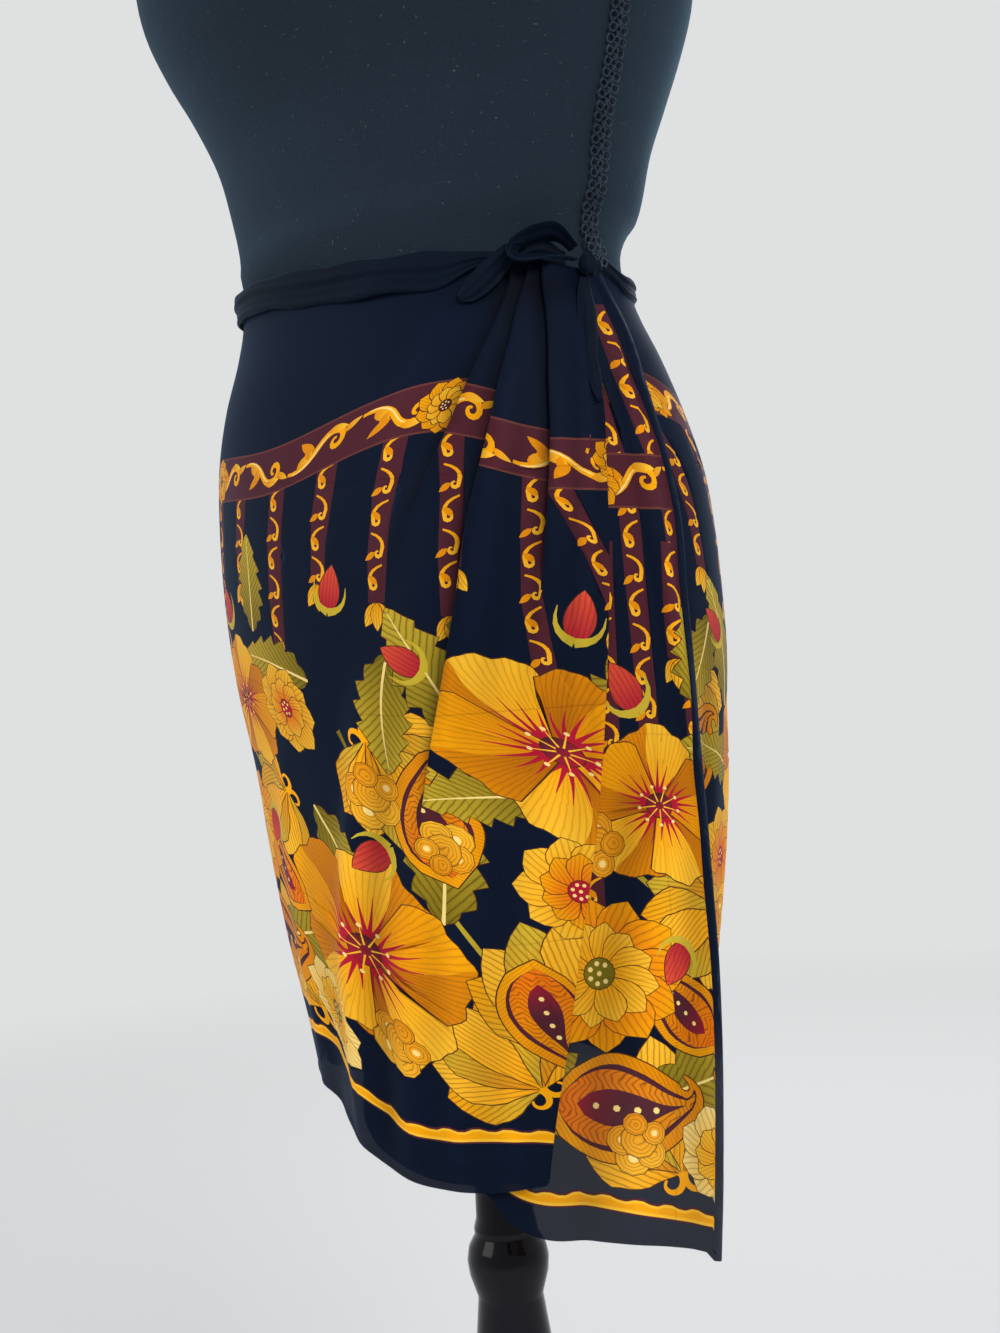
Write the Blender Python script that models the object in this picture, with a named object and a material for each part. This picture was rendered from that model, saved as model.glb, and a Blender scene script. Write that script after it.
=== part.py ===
"""Wrap skirt of printed silk georgette, tied at the left hip over a limbless dress form on a turned stand.

The form faces -Y, so the wearer's left hip is at +X. Angles run round the body from its front (0) through the
left hip (90) and the back (180) to the right hip (270 or -90). All lengths are metres.

The skirt is one oblong of cloth, wound round the hips. From its inner edge it passes over the left front, the
left hip, the back and the right hip, and crosses the front again. There it is pleated into the knot, turned
under in one deep fold and let hang as a free tail, whose edge has a narrow black band.
"""
import math

import bmesh
import bpy
import numpy as np

CLOTH = 0.0010            # wall of each ply of cloth
PLY = 0.0018              # distance from one ply to the next one outside it
SEAM = 0.0003             # gap where two pieces meet
FREE_BAND = 0.0085        # width of the black band on the tail's free edge
FREE_BAND_WALL = 0.0021
BAND_STANDS_UP = 0.0009   # how far the band's face stands above the tail's
BAND_BELOW_HEM = 0.0040   # how far the band hangs below the tail
TIE_WIDTH = 0.0200        # width of the waist tie
TIE_WALL = 0.0012
TIE_DROP = 0.0080         # the skirt's top edge lies this far below the top of the tie
FORM_CLEARANCE = 0.0022   # from the cloth's outer face in to the jersey of the form
RIGHT_HIP = -90.0
LEFT_HIP = 90.0
HIP_SEAM = 0.15           # angle that each stretch stops short of the line where two of them meet
INNER_EDGE = -28.0        # angle of the skirt's hidden inner edge
TAIL_STANDS_OUT = 0.040   # how far the tail hangs clear of the narrowing skirt, at its hem
TAIL_LEAVES = (0.86, 0.50)            # heights between which the tail moves off the skirt
TAIL_FOLD = (0.0016, 0.42, 0.16)      # soft fold down the tail: rise, place and width as shares of the way across
TAIL_FOLD_FADES = (0.62, 0.80)        # heights between which that fold comes up
OVER_INNER_EDGE = (-34.0, -3.0)       # degrees from the hidden inner edge over which the front rises above it
OVER_INNER_FOLD = (-14.0, -4.0)       # degrees from the tail's inner fold over which it rises two plies more
UNDER_HEM = 0.003                     # the turned-under ply ends this far above the front's hem
FOLD_INSET = 0.4                      # and starts this many degrees inside the deep fold's edge
HEM_WAVE = 0.0012                     # soft waves near the hem: half their height
HEM_WAVES = 9                         # how many there would be round the body at the front's spacing
BACK_WAVES = 6                        # and at the back's
HEM_WAVE_TURN = 40.0                  # where they start, in degrees of their own turn
HEM_WAVE_REACH = (0.80, 0.56)         # heights between which they grow
PLEAT_EDGE = 0.9                      # degrees over which a crisp pleat's edge rises
SOFT_PLEAT_EDGE = 6.0                 # degrees more over which a soft one does
PLEAT_SOFTENS = (-0.06, 0.02)         # heights from the end of its crisp edge over which a pleat turns soft
BRAID_HALF_WIDTH = 0.0065
BRAID_ENDS = (1.012, 1.38)            # heights of the side braid's ends
# Where the braid's middle lies: height and degrees. It follows the seam and leans back into the waist tie.
BRAID_SEAM = ((1.000, 90.4), (1.012, 90.0), (1.026, 89.0), (1.044, 86.7), (1.060, 85.6), (1.140, 85.2), (1.400, 85.2))
BRAID_CROWN = ((-1.0, 0.0016), (-0.45, 0.0032), (0.45, 0.0032), (1.0, 0.0016))    # share across and rise
BRAID_UNDERSIDE = 0.0006              # how far its underside lies off the jersey

# Outer face of the skirt: height, half width, half depth, how far the middle lies behind the post.
SKIRT_SECTIONS = (
    (1.035, 0.1302, 0.0924, -0.0070),
    (1.010, 0.1296, 0.0917, -0.0076),
    (0.990, 0.1344, 0.0955, -0.0078),
    (0.960, 0.1470, 0.1044, -0.0068),
    (0.930, 0.1568, 0.1113, -0.0045),
    (0.900, 0.1624, 0.1169, -0.0005),
    (0.870, 0.1642, 0.1199, 0.0018),
    (0.840, 0.1640, 0.1214, 0.0037),
    (0.800, 0.1610, 0.1225, 0.0070),
    (0.750, 0.1531, 0.1194, 0.0105),
    (0.700, 0.1448, 0.1173, 0.0119),
    (0.650, 0.1350, 0.1127, 0.0127),
    (0.600, 0.1234, 0.1068, 0.0145),
    (0.550, 0.1146, 0.1030, 0.0158),
    (0.470, 0.1072, 0.0985, 0.0163),
)

# Lines that run down the front: height, then the angles of the three pleats, of the edge of the deep fold,
# and of the fold inside it where the cloth turns out again as the tail.
FRONT_LINES = (
    (1.012, 62.0, 66.0, 70.0, 84.0, 81.0),
    (1.000, 59.8, 64.0, 67.5, 83.5, 79.0),
    (0.980, 55.0, 59.0, 66.0, 81.5, 73.0),
    (0.960, 49.0, 54.8, 63.8, 78.3, 66.0),
    (0.940, 43.5, 50.8, 61.5, 75.5, 59.0),
    (0.920, 38.5, 47.5, 59.8, 73.3, 53.0),
    (0.900, 33.5, 44.2, 58.0, 71.2, 48.0),
    (0.870, 27.0, 40.3, 55.8, 69.7, 41.0),
    (0.840, 22.0, 37.7, 53.8, 68.5, 35.0),
    (0.800, 17.5, 33.8, 51.0, 66.8, 28.0),
    (0.750, 13.5, 28.6, 47.5, 65.0, 20.0),
    (0.700, 10.0, 24.5, 44.0, 63.0, 13.0),
    (0.650, 5.0, 20.5, 40.0, 60.0, 6.0),
    (0.600, 0.0, 17.0, 36.5, 57.0, 0.0),
    (0.560, -4.0, 15.0, 34.5, 53.5, -5.0),
    (0.500, -8.0, 13.0, 32.0, 49.0, -9.0),
)

# Each pleat: its line in FRONT_LINES, how far its edge stands up at the top and at the hem, the height where
# the crisp edge ends, and how many degrees it takes to fall back to the cloth.
PLEATS = (
    (0, 0.0022, 0.0012, 0.900, 7.0),
    (1, 0.0042, 0.0012, 0.740, 9.0),
    (2, 0.0046, 0.0008, 0.850, 9.0),
)

# Hems: angle and height, of the stretch over the front, of the tail, and of the back and the inner front.
FRONT_HEM = ((-90, 0.574), (-45, 0.574), (-25, 0.569), (-15, 0.559), (-5, 0.546), (5, 0.535), (15, 0.528),
             (25, 0.525), (35, 0.525), (45, 0.527), (60, 0.529))
TAIL_HEM = ((-15, 0.570), (-8, 0.560), (5, 0.544), (20, 0.5330), (30, 0.527), (35, 0.519), (39, 0.508),
            (49, 0.497), (62, 0.4960), (73, 0.495), (81, 0.491), (86, 0.486), (92, 0.481))
INNER_HEM = ((-30, 0.580), (0, 0.584), (20, 0.590), (50, 0.603), (65, 0.603), (81, 0.583), (94, 0.566),
             (110, 0.542), (122, 0.525), (160, 0.529), (174, 0.534), (193, 0.548), (230, 0.562), (270, 0.575))

# Angle of the tail's free edge: height and angle.
FREE_EDGE = ((1.012, 90.5), (1.000, 93.5), (0.980, 96.0), (0.960, 94.8), (0.940, 92.8), (0.900, 92.0),
             (0.870, 92.8), (0.840, 91.8), (0.800, 91.0), (0.700, 91.0), (0.600, 92.3), (0.480, 89.6))

# Jersey form above the tie and below it: height, half width, half depth, set back.
FORM_SECTIONS = (
    (0.796, 0.1400, 0.1030, 0.0060),
    (0.799, 0.1500, 0.1120, 0.0060),
    (0.808, 0.1555, 0.1170, 0.0058),
    (1.037, 0.1311, 0.0942, -0.0052),
    (1.044, 0.1340, 0.0980, -0.0022),
    (1.050, 0.1352, 0.0988, -0.0004),
    (1.080, 0.1413, 0.1046, 0.0026),
    (1.110, 0.1487, 0.1159, 0.0068),
    (1.140, 0.1588, 0.1302, 0.0062),
    (1.165, 0.1685, 0.1410, 0.0020),
    (1.190, 0.1755, 0.1440, -0.0045),
    (1.220, 0.1790, 0.1415, -0.0080),
    (1.260, 0.1800, 0.1325, -0.0070),
    (1.300, 0.1800, 0.1210, -0.0020),
    (1.340, 0.1785, 0.1070, 0.0045),
    (1.370, 0.1735, 0.0930, 0.0080),
    (1.393, 0.1580, 0.0805, 0.0090),
    (1.412, 0.1290, 0.0700, 0.0070),
    (1.426, 0.0970, 0.0640, 0.0030),
    (1.440, 0.0720, 0.0590, 0.0000),
    (1.458, 0.0590, 0.0560, -0.0040),
    (1.490, 0.0545, 0.0540, -0.0080),
    (1.520, 0.0540, 0.0535, -0.0110),
)
FORM_UNDER_SKIRT = (0.830, 0.860, 0.890, 0.920, 0.945, 0.965, 0.980, 0.993, 1.003, 1.013, 1.024)

# Turned post and its beads: height and radius.
POST_PROFILE = (
    (0.0285, 0.0300), (0.0340, 0.0390), (0.0440, 0.0430), (0.0540, 0.0390), (0.0600, 0.0280), (0.0700, 0.0240),
    (0.1000, 0.0225), (0.1700, 0.0235), (0.2400, 0.0270), (0.3000, 0.0290), (0.3600, 0.0275), (0.4000, 0.0230),
    (0.4260, 0.0196), (0.4340, 0.0190), (0.4400, 0.0215), (0.4480, 0.0235), (0.4560, 0.0241), (0.4630, 0.0225),
    (0.4680, 0.0195), (0.4700, 0.0180), (0.4730, 0.0192), (0.4760, 0.0180), (0.4800, 0.0168), (0.5200, 0.0160),
    (0.7600, 0.0160), (0.7700, 0.0300), (0.7820, 0.0340), (0.7955, 0.0340),
)
# Round foot of the stand: height and radius.
FOOT_PROFILE = ((0.0000, 0.1960), (0.0030, 0.2000), (0.0160, 0.2000), (0.0210, 0.1960), (0.0230, 0.1850),
                (0.0240, 0.0700), (0.0282, 0.0500))


# ---------------------------------------------------------------- surfaces worked out from the tables
def smooth_table(rows, column, at):
    """Value of a column at the given first-column position, on a curve through the rows."""
    ordered = sorted(rows)
    keys = [row[0] for row in ordered]
    values = [row[column] for row in ordered]
    if at <= keys[0]:
        return values[0]
    if at >= keys[-1]:
        return values[-1]
    i = int(np.searchsorted(keys, at)) - 1
    i = max(0, min(i, len(keys) - 2))
    span = keys[i + 1] - keys[i]
    t = (at - keys[i]) / span
    before = (values[i] - values[i - 1]) / (keys[i] - keys[i - 1]) if i > 0 else None
    here = (values[i + 1] - values[i]) / span
    after = (values[i + 2] - values[i + 1]) / (keys[i + 2] - keys[i + 1]) if i + 2 < len(keys) else None
    start = (before + here) / 2 if before is not None else here
    end = (after + here) / 2 if after is not None else here
    return ((2 * t**3 - 3 * t**2 + 1) * values[i] + (t**3 - 2 * t**2 + t) * start * span
            + (3 * t**2 - 2 * t**3) * values[i + 1] + (t**3 - t**2) * end * span)


def ease(low, high, at):
    """0 below low, 1 above high, and a smooth rise between them. Works downwards when low > high."""
    t = min(1.0, max(0.0, (at - low) / (high - low)))
    return t * t * (3 - 2 * t)


def on_ring(angle, half_width, half_depth, back, height, outward):
    """Point on an oval ring, moved out along the ring's own normal."""
    s = math.sin(math.radians(angle))
    c = math.cos(math.radians(angle))
    normal = (s / half_width, -c / half_depth)
    length = math.hypot(*normal)
    return (half_width * s + normal[0] / length * outward,
            back - half_depth * c + normal[1] / length * outward, height)


def skirt_point(angle, height, outward):
    return on_ring(angle, *(smooth_table(SKIRT_SECTIONS, k, height) for k in (1, 2, 3)), height, outward)


def tie_top(angle):
    """Height of the top of the waist tie: it sits lower at the knot than at the right hip."""
    return 1.021 - 0.011 * math.sin(math.radians(angle))


def skirt_top(angle):
    return tie_top(angle) - TIE_DROP


def pleat_lift(angle, height):
    """How far the pleats raise the cloth: each has a steep edge on its right-hip side and a long back."""
    lift = 0.0
    for line, top, low, crisp_end, back in PLEATS:
        away = angle - smooth_table(FRONT_LINES, line + 1, height)
        crisp = ease(crisp_end + PLEAT_SOFTENS[0], crisp_end + PLEAT_SOFTENS[1], height)
        size = low + (top - low) * crisp
        rise = PLEAT_EDGE + (1 - crisp) * SOFT_PLEAT_EDGE
        lift += size * ease(-rise, 0.0, away) * (1 - ease(0.0, back, away))
    return lift


def hem_wave(angle, height):
    """Soft waves that grow towards the hem of the front."""
    wave = 1 + math.sin(math.radians(angle * HEM_WAVES + HEM_WAVE_TURN))
    return HEM_WAVE * wave * ease(*HEM_WAVE_REACH, height)


def front_level(angle, height):
    inner = smooth_table(FRONT_LINES, 5, height)
    level = PLY * ease(INNER_EDGE + OVER_INNER_EDGE[0], INNER_EDGE + OVER_INNER_EDGE[1], angle)
    level += 2 * PLY * ease(inner + OVER_INNER_FOLD[0], inner + OVER_INNER_FOLD[1], angle)
    return level + pleat_lift(angle, height) + hem_wave(angle, height)


def tail_level(angle, height):
    fold = smooth_table(FRONT_LINES, 4, height)
    free = smooth_table(FREE_EDGE, 1, height)
    across = (angle - fold) / max(free - fold, 1.0)
    out = ease(*TAIL_LEAVES, height) * TAIL_STANDS_OUT
    rise, middle, width = TAIL_FOLD
    soft_fold = rise * math.exp(-((across - middle) / width) ** 2) * ease(*TAIL_FOLD_FADES, height)
    return PLY + out * ease(0.0, 1.0, across) + soft_fold


# ---------------------------------------------------------------- solids
def finish(name, mesh, colour, roughness, flat_above=None):
    material = bpy.data.materials.new(name)
    material.use_nodes = True
    shader = material.node_tree.nodes["Principled BSDF"]
    shader.inputs["Base Color"].default_value = (*colour, 1.0)
    shader.inputs["Roughness"].default_value = roughness
    shader.inputs["Metallic"].default_value = 0.0
    mesh.materials.append(material)
    mesh.shade_smooth()
    mesh.set_sharp_from_angle(angle=math.radians(35 if flat_above is None else flat_above))
    piece = bpy.data.objects.new(name, mesh)
    bpy.context.scene.collection.objects.link(piece)
    return piece


def wall_between(name, outer, inner, colour, roughness):
    """Closed wall between two grids of points of the same size, rows of columns."""
    rows, columns = len(outer), len(outer[0])
    points = [p for row in outer for p in row] + [p for row in inner for p in row]
    half = rows * columns
    faces = []
    for r in range(rows - 1):
        for c in range(columns - 1):
            a = r * columns + c
            faces.append((a, a + columns, a + columns + 1, a + 1))
            faces.append((half + a, half + a + 1, half + a + columns + 1, half + a + columns))
    rim = [c for c in range(columns)] + [r * columns + columns - 1 for r in range(1, rows)]
    rim += [(rows - 1) * columns + c for c in range(columns - 2, -1, -1)]
    rim += [r * columns for r in range(rows - 2, 0, -1)]
    for a, b in zip(rim, rim[1:] + rim[:1]):
        faces.append((a, b, half + b, half + a))
    mesh = bpy.data.meshes.new(name)
    mesh.from_pydata(points, [], faces)
    work = bmesh.new()
    work.from_mesh(mesh)
    bmesh.ops.recalc_face_normals(work, faces=work.faces)
    bmesh.ops.triangulate(work, faces=work.faces)
    work.to_mesh(mesh)
    work.free()
    return finish(name, mesh, colour, roughness)


def cloth_piece(name, columns, rows, place, wall, colour, roughness=0.55):
    """Cloth wall: place(across, down) gives angle, height and level of the outer face; the wall goes inwards."""
    outer = []
    inner = []
    for down in rows:
        spots = [place(across, down) for across in columns]
        outer.append([skirt_point(angle, height, level) for angle, height, level in spots])
        inner.append([skirt_point(angle, height, level - wall) for angle, height, level in spots])
    return wall_between(name, outer, inner, colour, roughness)


def lofted(name, rings, colour, roughness, flat_above=None):
    """Closed solid through rings of equal length, capped at both ends."""
    size = len(rings[0])
    points = [p for ring in rings for p in ring]
    faces = []
    for r in range(len(rings) - 1):
        for i in range(size):
            j = (i + 1) % size
            faces.append((r * size + i, r * size + j, (r + 1) * size + j, (r + 1) * size + i))
    faces.append(tuple(range(size)))
    faces.append(tuple((len(rings) - 1) * size + i for i in range(size)))
    mesh = bpy.data.meshes.new(name)
    mesh.from_pydata(points, [], faces)
    work = bmesh.new()
    work.from_mesh(mesh)
    bmesh.ops.recalc_face_normals(work, faces=work.faces)
    bmesh.ops.triangulate(work, faces=work.faces)
    work.to_mesh(mesh)
    work.free()
    return finish(name, mesh, colour, roughness, flat_above)


def turned(name, profile, sides, colour, roughness):
    """Round solid turned about the stand's axis from heights and radii."""
    rings = [[(radius * math.cos(2 * math.pi * i / sides), radius * math.sin(2 * math.pi * i / sides), height)
              for i in range(sides)] for height, radius in profile]
    return lofted(name, rings, colour, roughness)


def ribbon(name, path, colour, sides=10):
    """Flat tie along a path of angle, height, level, width, thickness and turn about its own length."""
    spine = [np.array(skirt_point(angle, height, level)) for angle, height, level, _, _, _ in path]
    rings = []
    for i, (angle, height, level, width, thickness, turn) in enumerate(path):
        along = spine[min(i + 1, len(spine) - 1)] - spine[max(i - 1, 0)]
        along /= np.linalg.norm(along)
        out = np.array(skirt_point(angle, height, level + 0.01)) - spine[i]
        out -= along * out.dot(along)
        out /= np.linalg.norm(out)
        across = np.cross(along, out)
        a = math.radians(turn)
        wide = across * math.cos(a) + out * math.sin(a)
        thick = out * math.cos(a) - across * math.sin(a)
        ring = []
        for k in range(sides):
            t = 2 * math.pi * k / sides
            ring.append(tuple(spine[i] + wide * math.cos(t) * width / 2 + thick * math.sin(t) * thickness / 2))
        rings.append(ring)
    return lofted(name, rings, colour, 0.55)


def steps(start, end, count):
    return [start + (end - start) * i / count for i in range(count + 1)]


def rows_down(count):
    """Rows from the top edge to the hem, closer together where the waist curves into the hip."""
    return [s ** 1.4 for s in steps(0.0, 1.0, count)]


# ---------------------------------------------------------------- the stand and the form
BLACK_SILK = (0.006, 0.009, 0.018)
BLACK_TIE = (0.004, 0.006, 0.010)
JERSEY = (0.020, 0.033, 0.048)
EBONISED = (0.004, 0.004, 0.006)
FOOT_SIDES = 56
POST_SIDES = 28
TORSO_SIDES = 48
CAP_SIDES = 40
NECK_CAP = ((0.0003, 0.95), (0.0030, 1.00), (0.0110, 1.00), (0.0140, 0.94))    # rise above the neck, share of it


def make_stand():
    turned("stand_foot", FOOT_PROFILE, FOOT_SIDES, EBONISED, 0.25)
    turned("stand_post", POST_PROFILE, POST_SIDES, EBONISED, 0.20)


def form_section(height):
    """Half width, half depth and set-back of the form at a height."""
    if FORM_UNDER_SKIRT[0] <= height <= FORM_UNDER_SKIRT[-1]:
        wide, deep, back = (smooth_table(SKIRT_SECTIONS, k, height) for k in (1, 2, 3))
        return wide - FORM_CLEARANCE, deep - FORM_CLEARANCE, back
    return tuple(smooth_table(FORM_SECTIONS, k, height) for k in (1, 2, 3))


def make_form():
    heights = sorted([row[0] for row in FORM_SECTIONS] + list(FORM_UNDER_SKIRT))
    rings = []
    for height in heights:
        section = form_section(height)
        rings.append([on_ring(360 * i / TORSO_SIDES, *section, height, 0.0) for i in range(TORSO_SIDES)])
    lofted("form_torso", rings, JERSEY, 0.9, 50)
    neck_top = FORM_SECTIONS[-1][0]
    wide, deep, back = form_section(neck_top)
    rings = [[on_ring(360 * i / CAP_SIDES, wide * share, deep * share, back, neck_top + up, 0.0)
              for i in range(CAP_SIDES)] for up, share in NECK_CAP]
    lofted("form_neck_cap", rings, EBONISED, 0.3)


def make_side_braid():
    """Gimp braid sewn over the form's left side seam, from just above the tie up to the shoulder."""
    heights = sorted(height for height in [row[0] for row in FORM_SECTIONS] + list(FORM_UNDER_SKIRT)
                     if BRAID_ENDS[0] < height < BRAID_ENDS[1])
    outer = []
    inner = []
    for height in heights:
        wide, deep, back = form_section(height)
        turn = math.degrees(BRAID_HALF_WIDTH / deep)
        seam = smooth_table(BRAID_SEAM, 1, height)
        spots = [(seam + turn * share, up) for share, up in BRAID_CROWN]
        outer.append([on_ring(angle, wide, deep, back, height, up) for angle, up in spots])
        inner.append([on_ring(angle, wide, deep, back, height, BRAID_UNDERSIDE) for angle, _ in spots])
    wall_between("form_side_braid", outer, inner, BLACK_TIE, 0.6)


# ---------------------------------------------------------------- the skirt
FRONT_ROWS = 19
BACK_ROWS = 16
FIRST_GUESS = 0.75        # height at which the search for a crossing starts
GUESSES = 8
BESIDE_PLEAT = 0.93       # last column before a pleat, as a share of the way to it; nearer for the first one
BESIDE_FIRST_PLEAT = 0.965


def cross(angle_at, hem, down):
    """Angle and height where a line that runs down the cloth crosses a row; angle_at gives it by height."""
    angle = angle_at(FIRST_GUESS)
    height = FIRST_GUESS
    for _ in range(GUESSES):
        top = skirt_top(angle)
        height = top + (smooth_table(hem, 1, angle) - top) * down
        angle = angle_at(height)
    return angle, height


def make_front():
    """Stretch over the front, from the right hip to the edge of the deep fold, with its three pleats."""
    # Each column is a share of the way from one line to the next: the right hip, three pleats, the deep fold.
    columns = [(0, share) for share in steps(0.0, 1.0, 15)[:-1]] + [(0, BESIDE_FIRST_PLEAT)]
    for stretch, count in ((1, 4), (2, 5), (3, 5)):
        columns += [(stretch, share) for share in steps(0.0, 1.0, count)[:-1]]
        columns.append((stretch, BESIDE_PLEAT) if stretch < 3 else (stretch, 1.0))

    def place(column, down):
        stretch, share = column

        def angle_at(height):
            start = RIGHT_HIP + HIP_SEAM if stretch == 0 else smooth_table(FRONT_LINES, stretch, height)
            return start + (smooth_table(FRONT_LINES, stretch + 1, height) - start) * share

        angle, height = cross(angle_at, FRONT_HEM, down)
        return angle, height, front_level(angle, height)

    cloth_piece("skirt_front", columns, rows_down(FRONT_ROWS), place, CLOTH, BLACK_SILK)


def make_turned_under():
    """The ply that goes back under the front from the edge of the deep fold."""
    hem = [(angle, height + UNDER_HEM) for angle, height in FRONT_HEM]

    def place(across, down):
        def angle_at(height):
            inner = smooth_table(FRONT_LINES, 5, height)
            return inner + (smooth_table(FRONT_LINES, 4, height) - FOLD_INSET - inner) * across

        angle, height = cross(angle_at, hem, down)
        return angle, height, 2 * PLY

    cloth_piece("skirt_turned_under", steps(0.0, 1.0, 9), rows_down(FRONT_ROWS), place, CLOTH, BLACK_SILK)


def free_edge(height, inwards):
    """Angle of the tail's free edge, or of a line that far inwards of it."""
    return smooth_table(FREE_EDGE, 1, height) - math.degrees(inwards / smooth_table(SKIRT_SECTIONS, 2, height))


def make_tail():
    """The free tail, from the inner fold out to the black band on its edge."""
    def place(across, down):
        def angle_at(height):
            inner = smooth_table(FRONT_LINES, 5, height)
            return inner + (free_edge(height, FREE_BAND + SEAM) - inner) * across

        angle, height = cross(angle_at, TAIL_HEM, down)
        return angle, height, tail_level(angle, height)

    cloth_piece("skirt_tail", steps(0.0, 1.0, 16), rows_down(FRONT_ROWS), place, CLOTH, BLACK_SILK)


def make_free_band():
    """Doubled black band that finishes the tail's free edge and hangs a little below its hem."""
    length = skirt_top(LEFT_HIP) - smooth_table(TAIL_HEM, 1, LEFT_HIP)

    def place(inwards, down):
        angle, height = cross(lambda height: free_edge(height, inwards), TAIL_HEM, down)
        return angle, height, tail_level(angle, height) + BAND_STANDS_UP

    rows = rows_down(FRONT_ROWS) + [1.0 + BAND_BELOW_HEM / length]
    cloth_piece("skirt_free_band", [FREE_BAND, FREE_BAND / 2, 0.0], rows, place, FREE_BAND_WALL, BLACK_TIE)


def make_back():
    """Stretch round the back, from under the tail at the left hip to the seam with the front."""
    def place(across, down):
        angle = LEFT_HIP + HIP_SEAM + (360 + RIGHT_HIP - LEFT_HIP - 2 * HIP_SEAM) * across
        angle, height = cross(lambda height: angle, INNER_HEM, down)
        return angle, height, hem_wave(angle * BACK_WAVES / HEM_WAVES, height)

    cloth_piece("skirt_back", steps(0.0, 1.0, 25), rows_down(BACK_ROWS), place, CLOTH, BLACK_SILK)


def make_inner_front():
    """Inner end of the cloth, under the tail and the front, with its own hidden edge."""
    def place(across, down):
        angle = INNER_EDGE + (LEFT_HIP - HIP_SEAM - INNER_EDGE) * across
        angle, height = cross(lambda height: angle, INNER_HEM, down)
        return angle, height, 0.0

    cloth_piece("skirt_inner_front", steps(0.0, 1.0, 17), rows_down(BACK_ROWS), place, CLOTH, BLACK_SILK)


# ---------------------------------------------------------------- the tie
# Bow loop on the knot: angle and height along its strap, out over the top and back underneath.
LOOP_PATH = ((77.6, 1.0110), (74.4, 1.0166), (70.5, 1.0192), (65.5, 1.0172), (61.9, 1.0130), (60.4, 1.0088),
             (61.6, 1.0066), (65.2, 1.0062), (70.7, 1.0062), (77.5, 1.0052))
LOOP_LEVEL = 0.0105
LOOP_WIDTH = 0.0135
TIE_THICKNESS = 0.0016
# Loose end that lies over the front, and the end that hangs from the knot: angle, height, level, width, turn.
END_ACROSS = ((59.1, 1.0085, 0.0100, 0.010, 40), (57.0, 1.0040, 0.0088, 0.014, 16), (54.1, 0.9978, 0.0074, 0.017, 4),
              (51.3, 0.9918, 0.0064, 0.017, 0), (48.6, 0.9874, 0.0056, 0.014, 0), (46.4, 0.9846, 0.0050, 0.008, 0))
END_DOWN = ((80.4, 0.9932, 0.0078, 0.008, 0), (79.6, 0.9885, 0.0068, 0.010, 0), (78.4, 0.9800, 0.0066, 0.011, 0),
            (76.2, 0.9680, 0.0066, 0.010, 0), (74.2, 0.9540, 0.0066, 0.009, 0), (73.2, 0.9400, 0.0067, 0.008, 0),
            (72.6, 0.9290, 0.0068, 0.004, 0))


# The waist tie narrows by a share of its width between two angles, as it comes up to the knot on either side.
FRONT_NARROWS = (0.66, 40, 52)
BACK_NARROWS = (0.62, 106, 97)
TIE_BACK_WIDTH = 0.0160
TIE_LEVEL = 0.0023
TIE_BACK_LEVEL = 0.0019
TIE_SINKS = (53, 59)      # angles between which the tie moves in under the loop
INTO_KNOT = 77.0
OUT_OF_KNOT = 87.8
KNOT_ANGLE = 82.2
KNOT_HALF_ANGLE = 4.8
KNOT_HEIGHT = 1.0030
KNOT_LEVEL = 0.0112
KNOT_SIZE = (0.0160, 0.0100)    # its width and thickness
LOOP_TURN = 80


def tie_level(angle):
    """The tie lies on the front where that is, and next to the form where the loop hides it."""
    over_front = ease(INNER_EDGE + OVER_INNER_EDGE[0], INNER_EDGE + OVER_INNER_EDGE[1], angle)
    return TIE_LEVEL + PLY * over_front * (1 - ease(*TIE_SINKS, angle))


def make_waist_tie():
    """Tie round the waist, in a stretch over the front and one round the back. Both narrow into the knot."""
    def narrowed(width, narrows, angle):
        share, start, end = narrows
        return width * (1 - share * ease(start, end, angle))

    def front(across, down):
        angle = RIGHT_HIP + HIP_SEAM + (INTO_KNOT - RIGHT_HIP) * across
        height = tie_top(angle) - narrowed(TIE_WIDTH, FRONT_NARROWS, angle) * down
        return angle, height, tie_level(angle)

    def back(across, down):
        angle = OUT_OF_KNOT + (360 + RIGHT_HIP - HIP_SEAM - OUT_OF_KNOT) * across
        height = tie_top(angle) - narrowed(TIE_BACK_WIDTH, BACK_NARROWS, angle) * down
        return angle, height, TIE_BACK_LEVEL

    cloth_piece("tie_front", steps(0.0, 1.0, 32), steps(0.0, 1.0, 2), front, TIE_WALL, BLACK_TIE)
    cloth_piece("tie_back", steps(0.0, 1.0, 28), steps(0.0, 1.0, 2), back, TIE_WALL, BLACK_TIE)


def make_knot_and_bow():
    knot = []
    for t in steps(-0.96, 0.96, 8):
        girth = math.sqrt(1 - t * t)
        knot.append((KNOT_ANGLE + KNOT_HALF_ANGLE * t, KNOT_HEIGHT, KNOT_LEVEL,
                     KNOT_SIZE[0] * girth, KNOT_SIZE[1] * girth, 0.0))
    ribbon("tie_knot", knot, BLACK_TIE, 12)
    numbered = [(i, *spot) for i, spot in enumerate(LOOP_PATH)]
    loop = [(smooth_table(numbered, 1, t), smooth_table(numbered, 2, t),
             LOOP_LEVEL, LOOP_WIDTH, TIE_THICKNESS, LOOP_TURN) for t in steps(0, len(LOOP_PATH) - 1, 24)]
    ribbon("tie_bow_loop", loop, BLACK_TIE, 8)
    for name, path in (("tie_end_across", END_ACROSS), ("tie_end_down", END_DOWN)):
        numbered = [(i, *spot) for i, spot in enumerate(path)]
        smooth = [[smooth_table(numbered, k, t) for k in (1, 2, 3, 4, 5)] for t in steps(0, len(path) - 1, 10)]
        ribbon(name, [(a, h, level, width, TIE_THICKNESS, turn) for a, h, level, width, turn in smooth],
               BLACK_TIE, 8)


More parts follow.
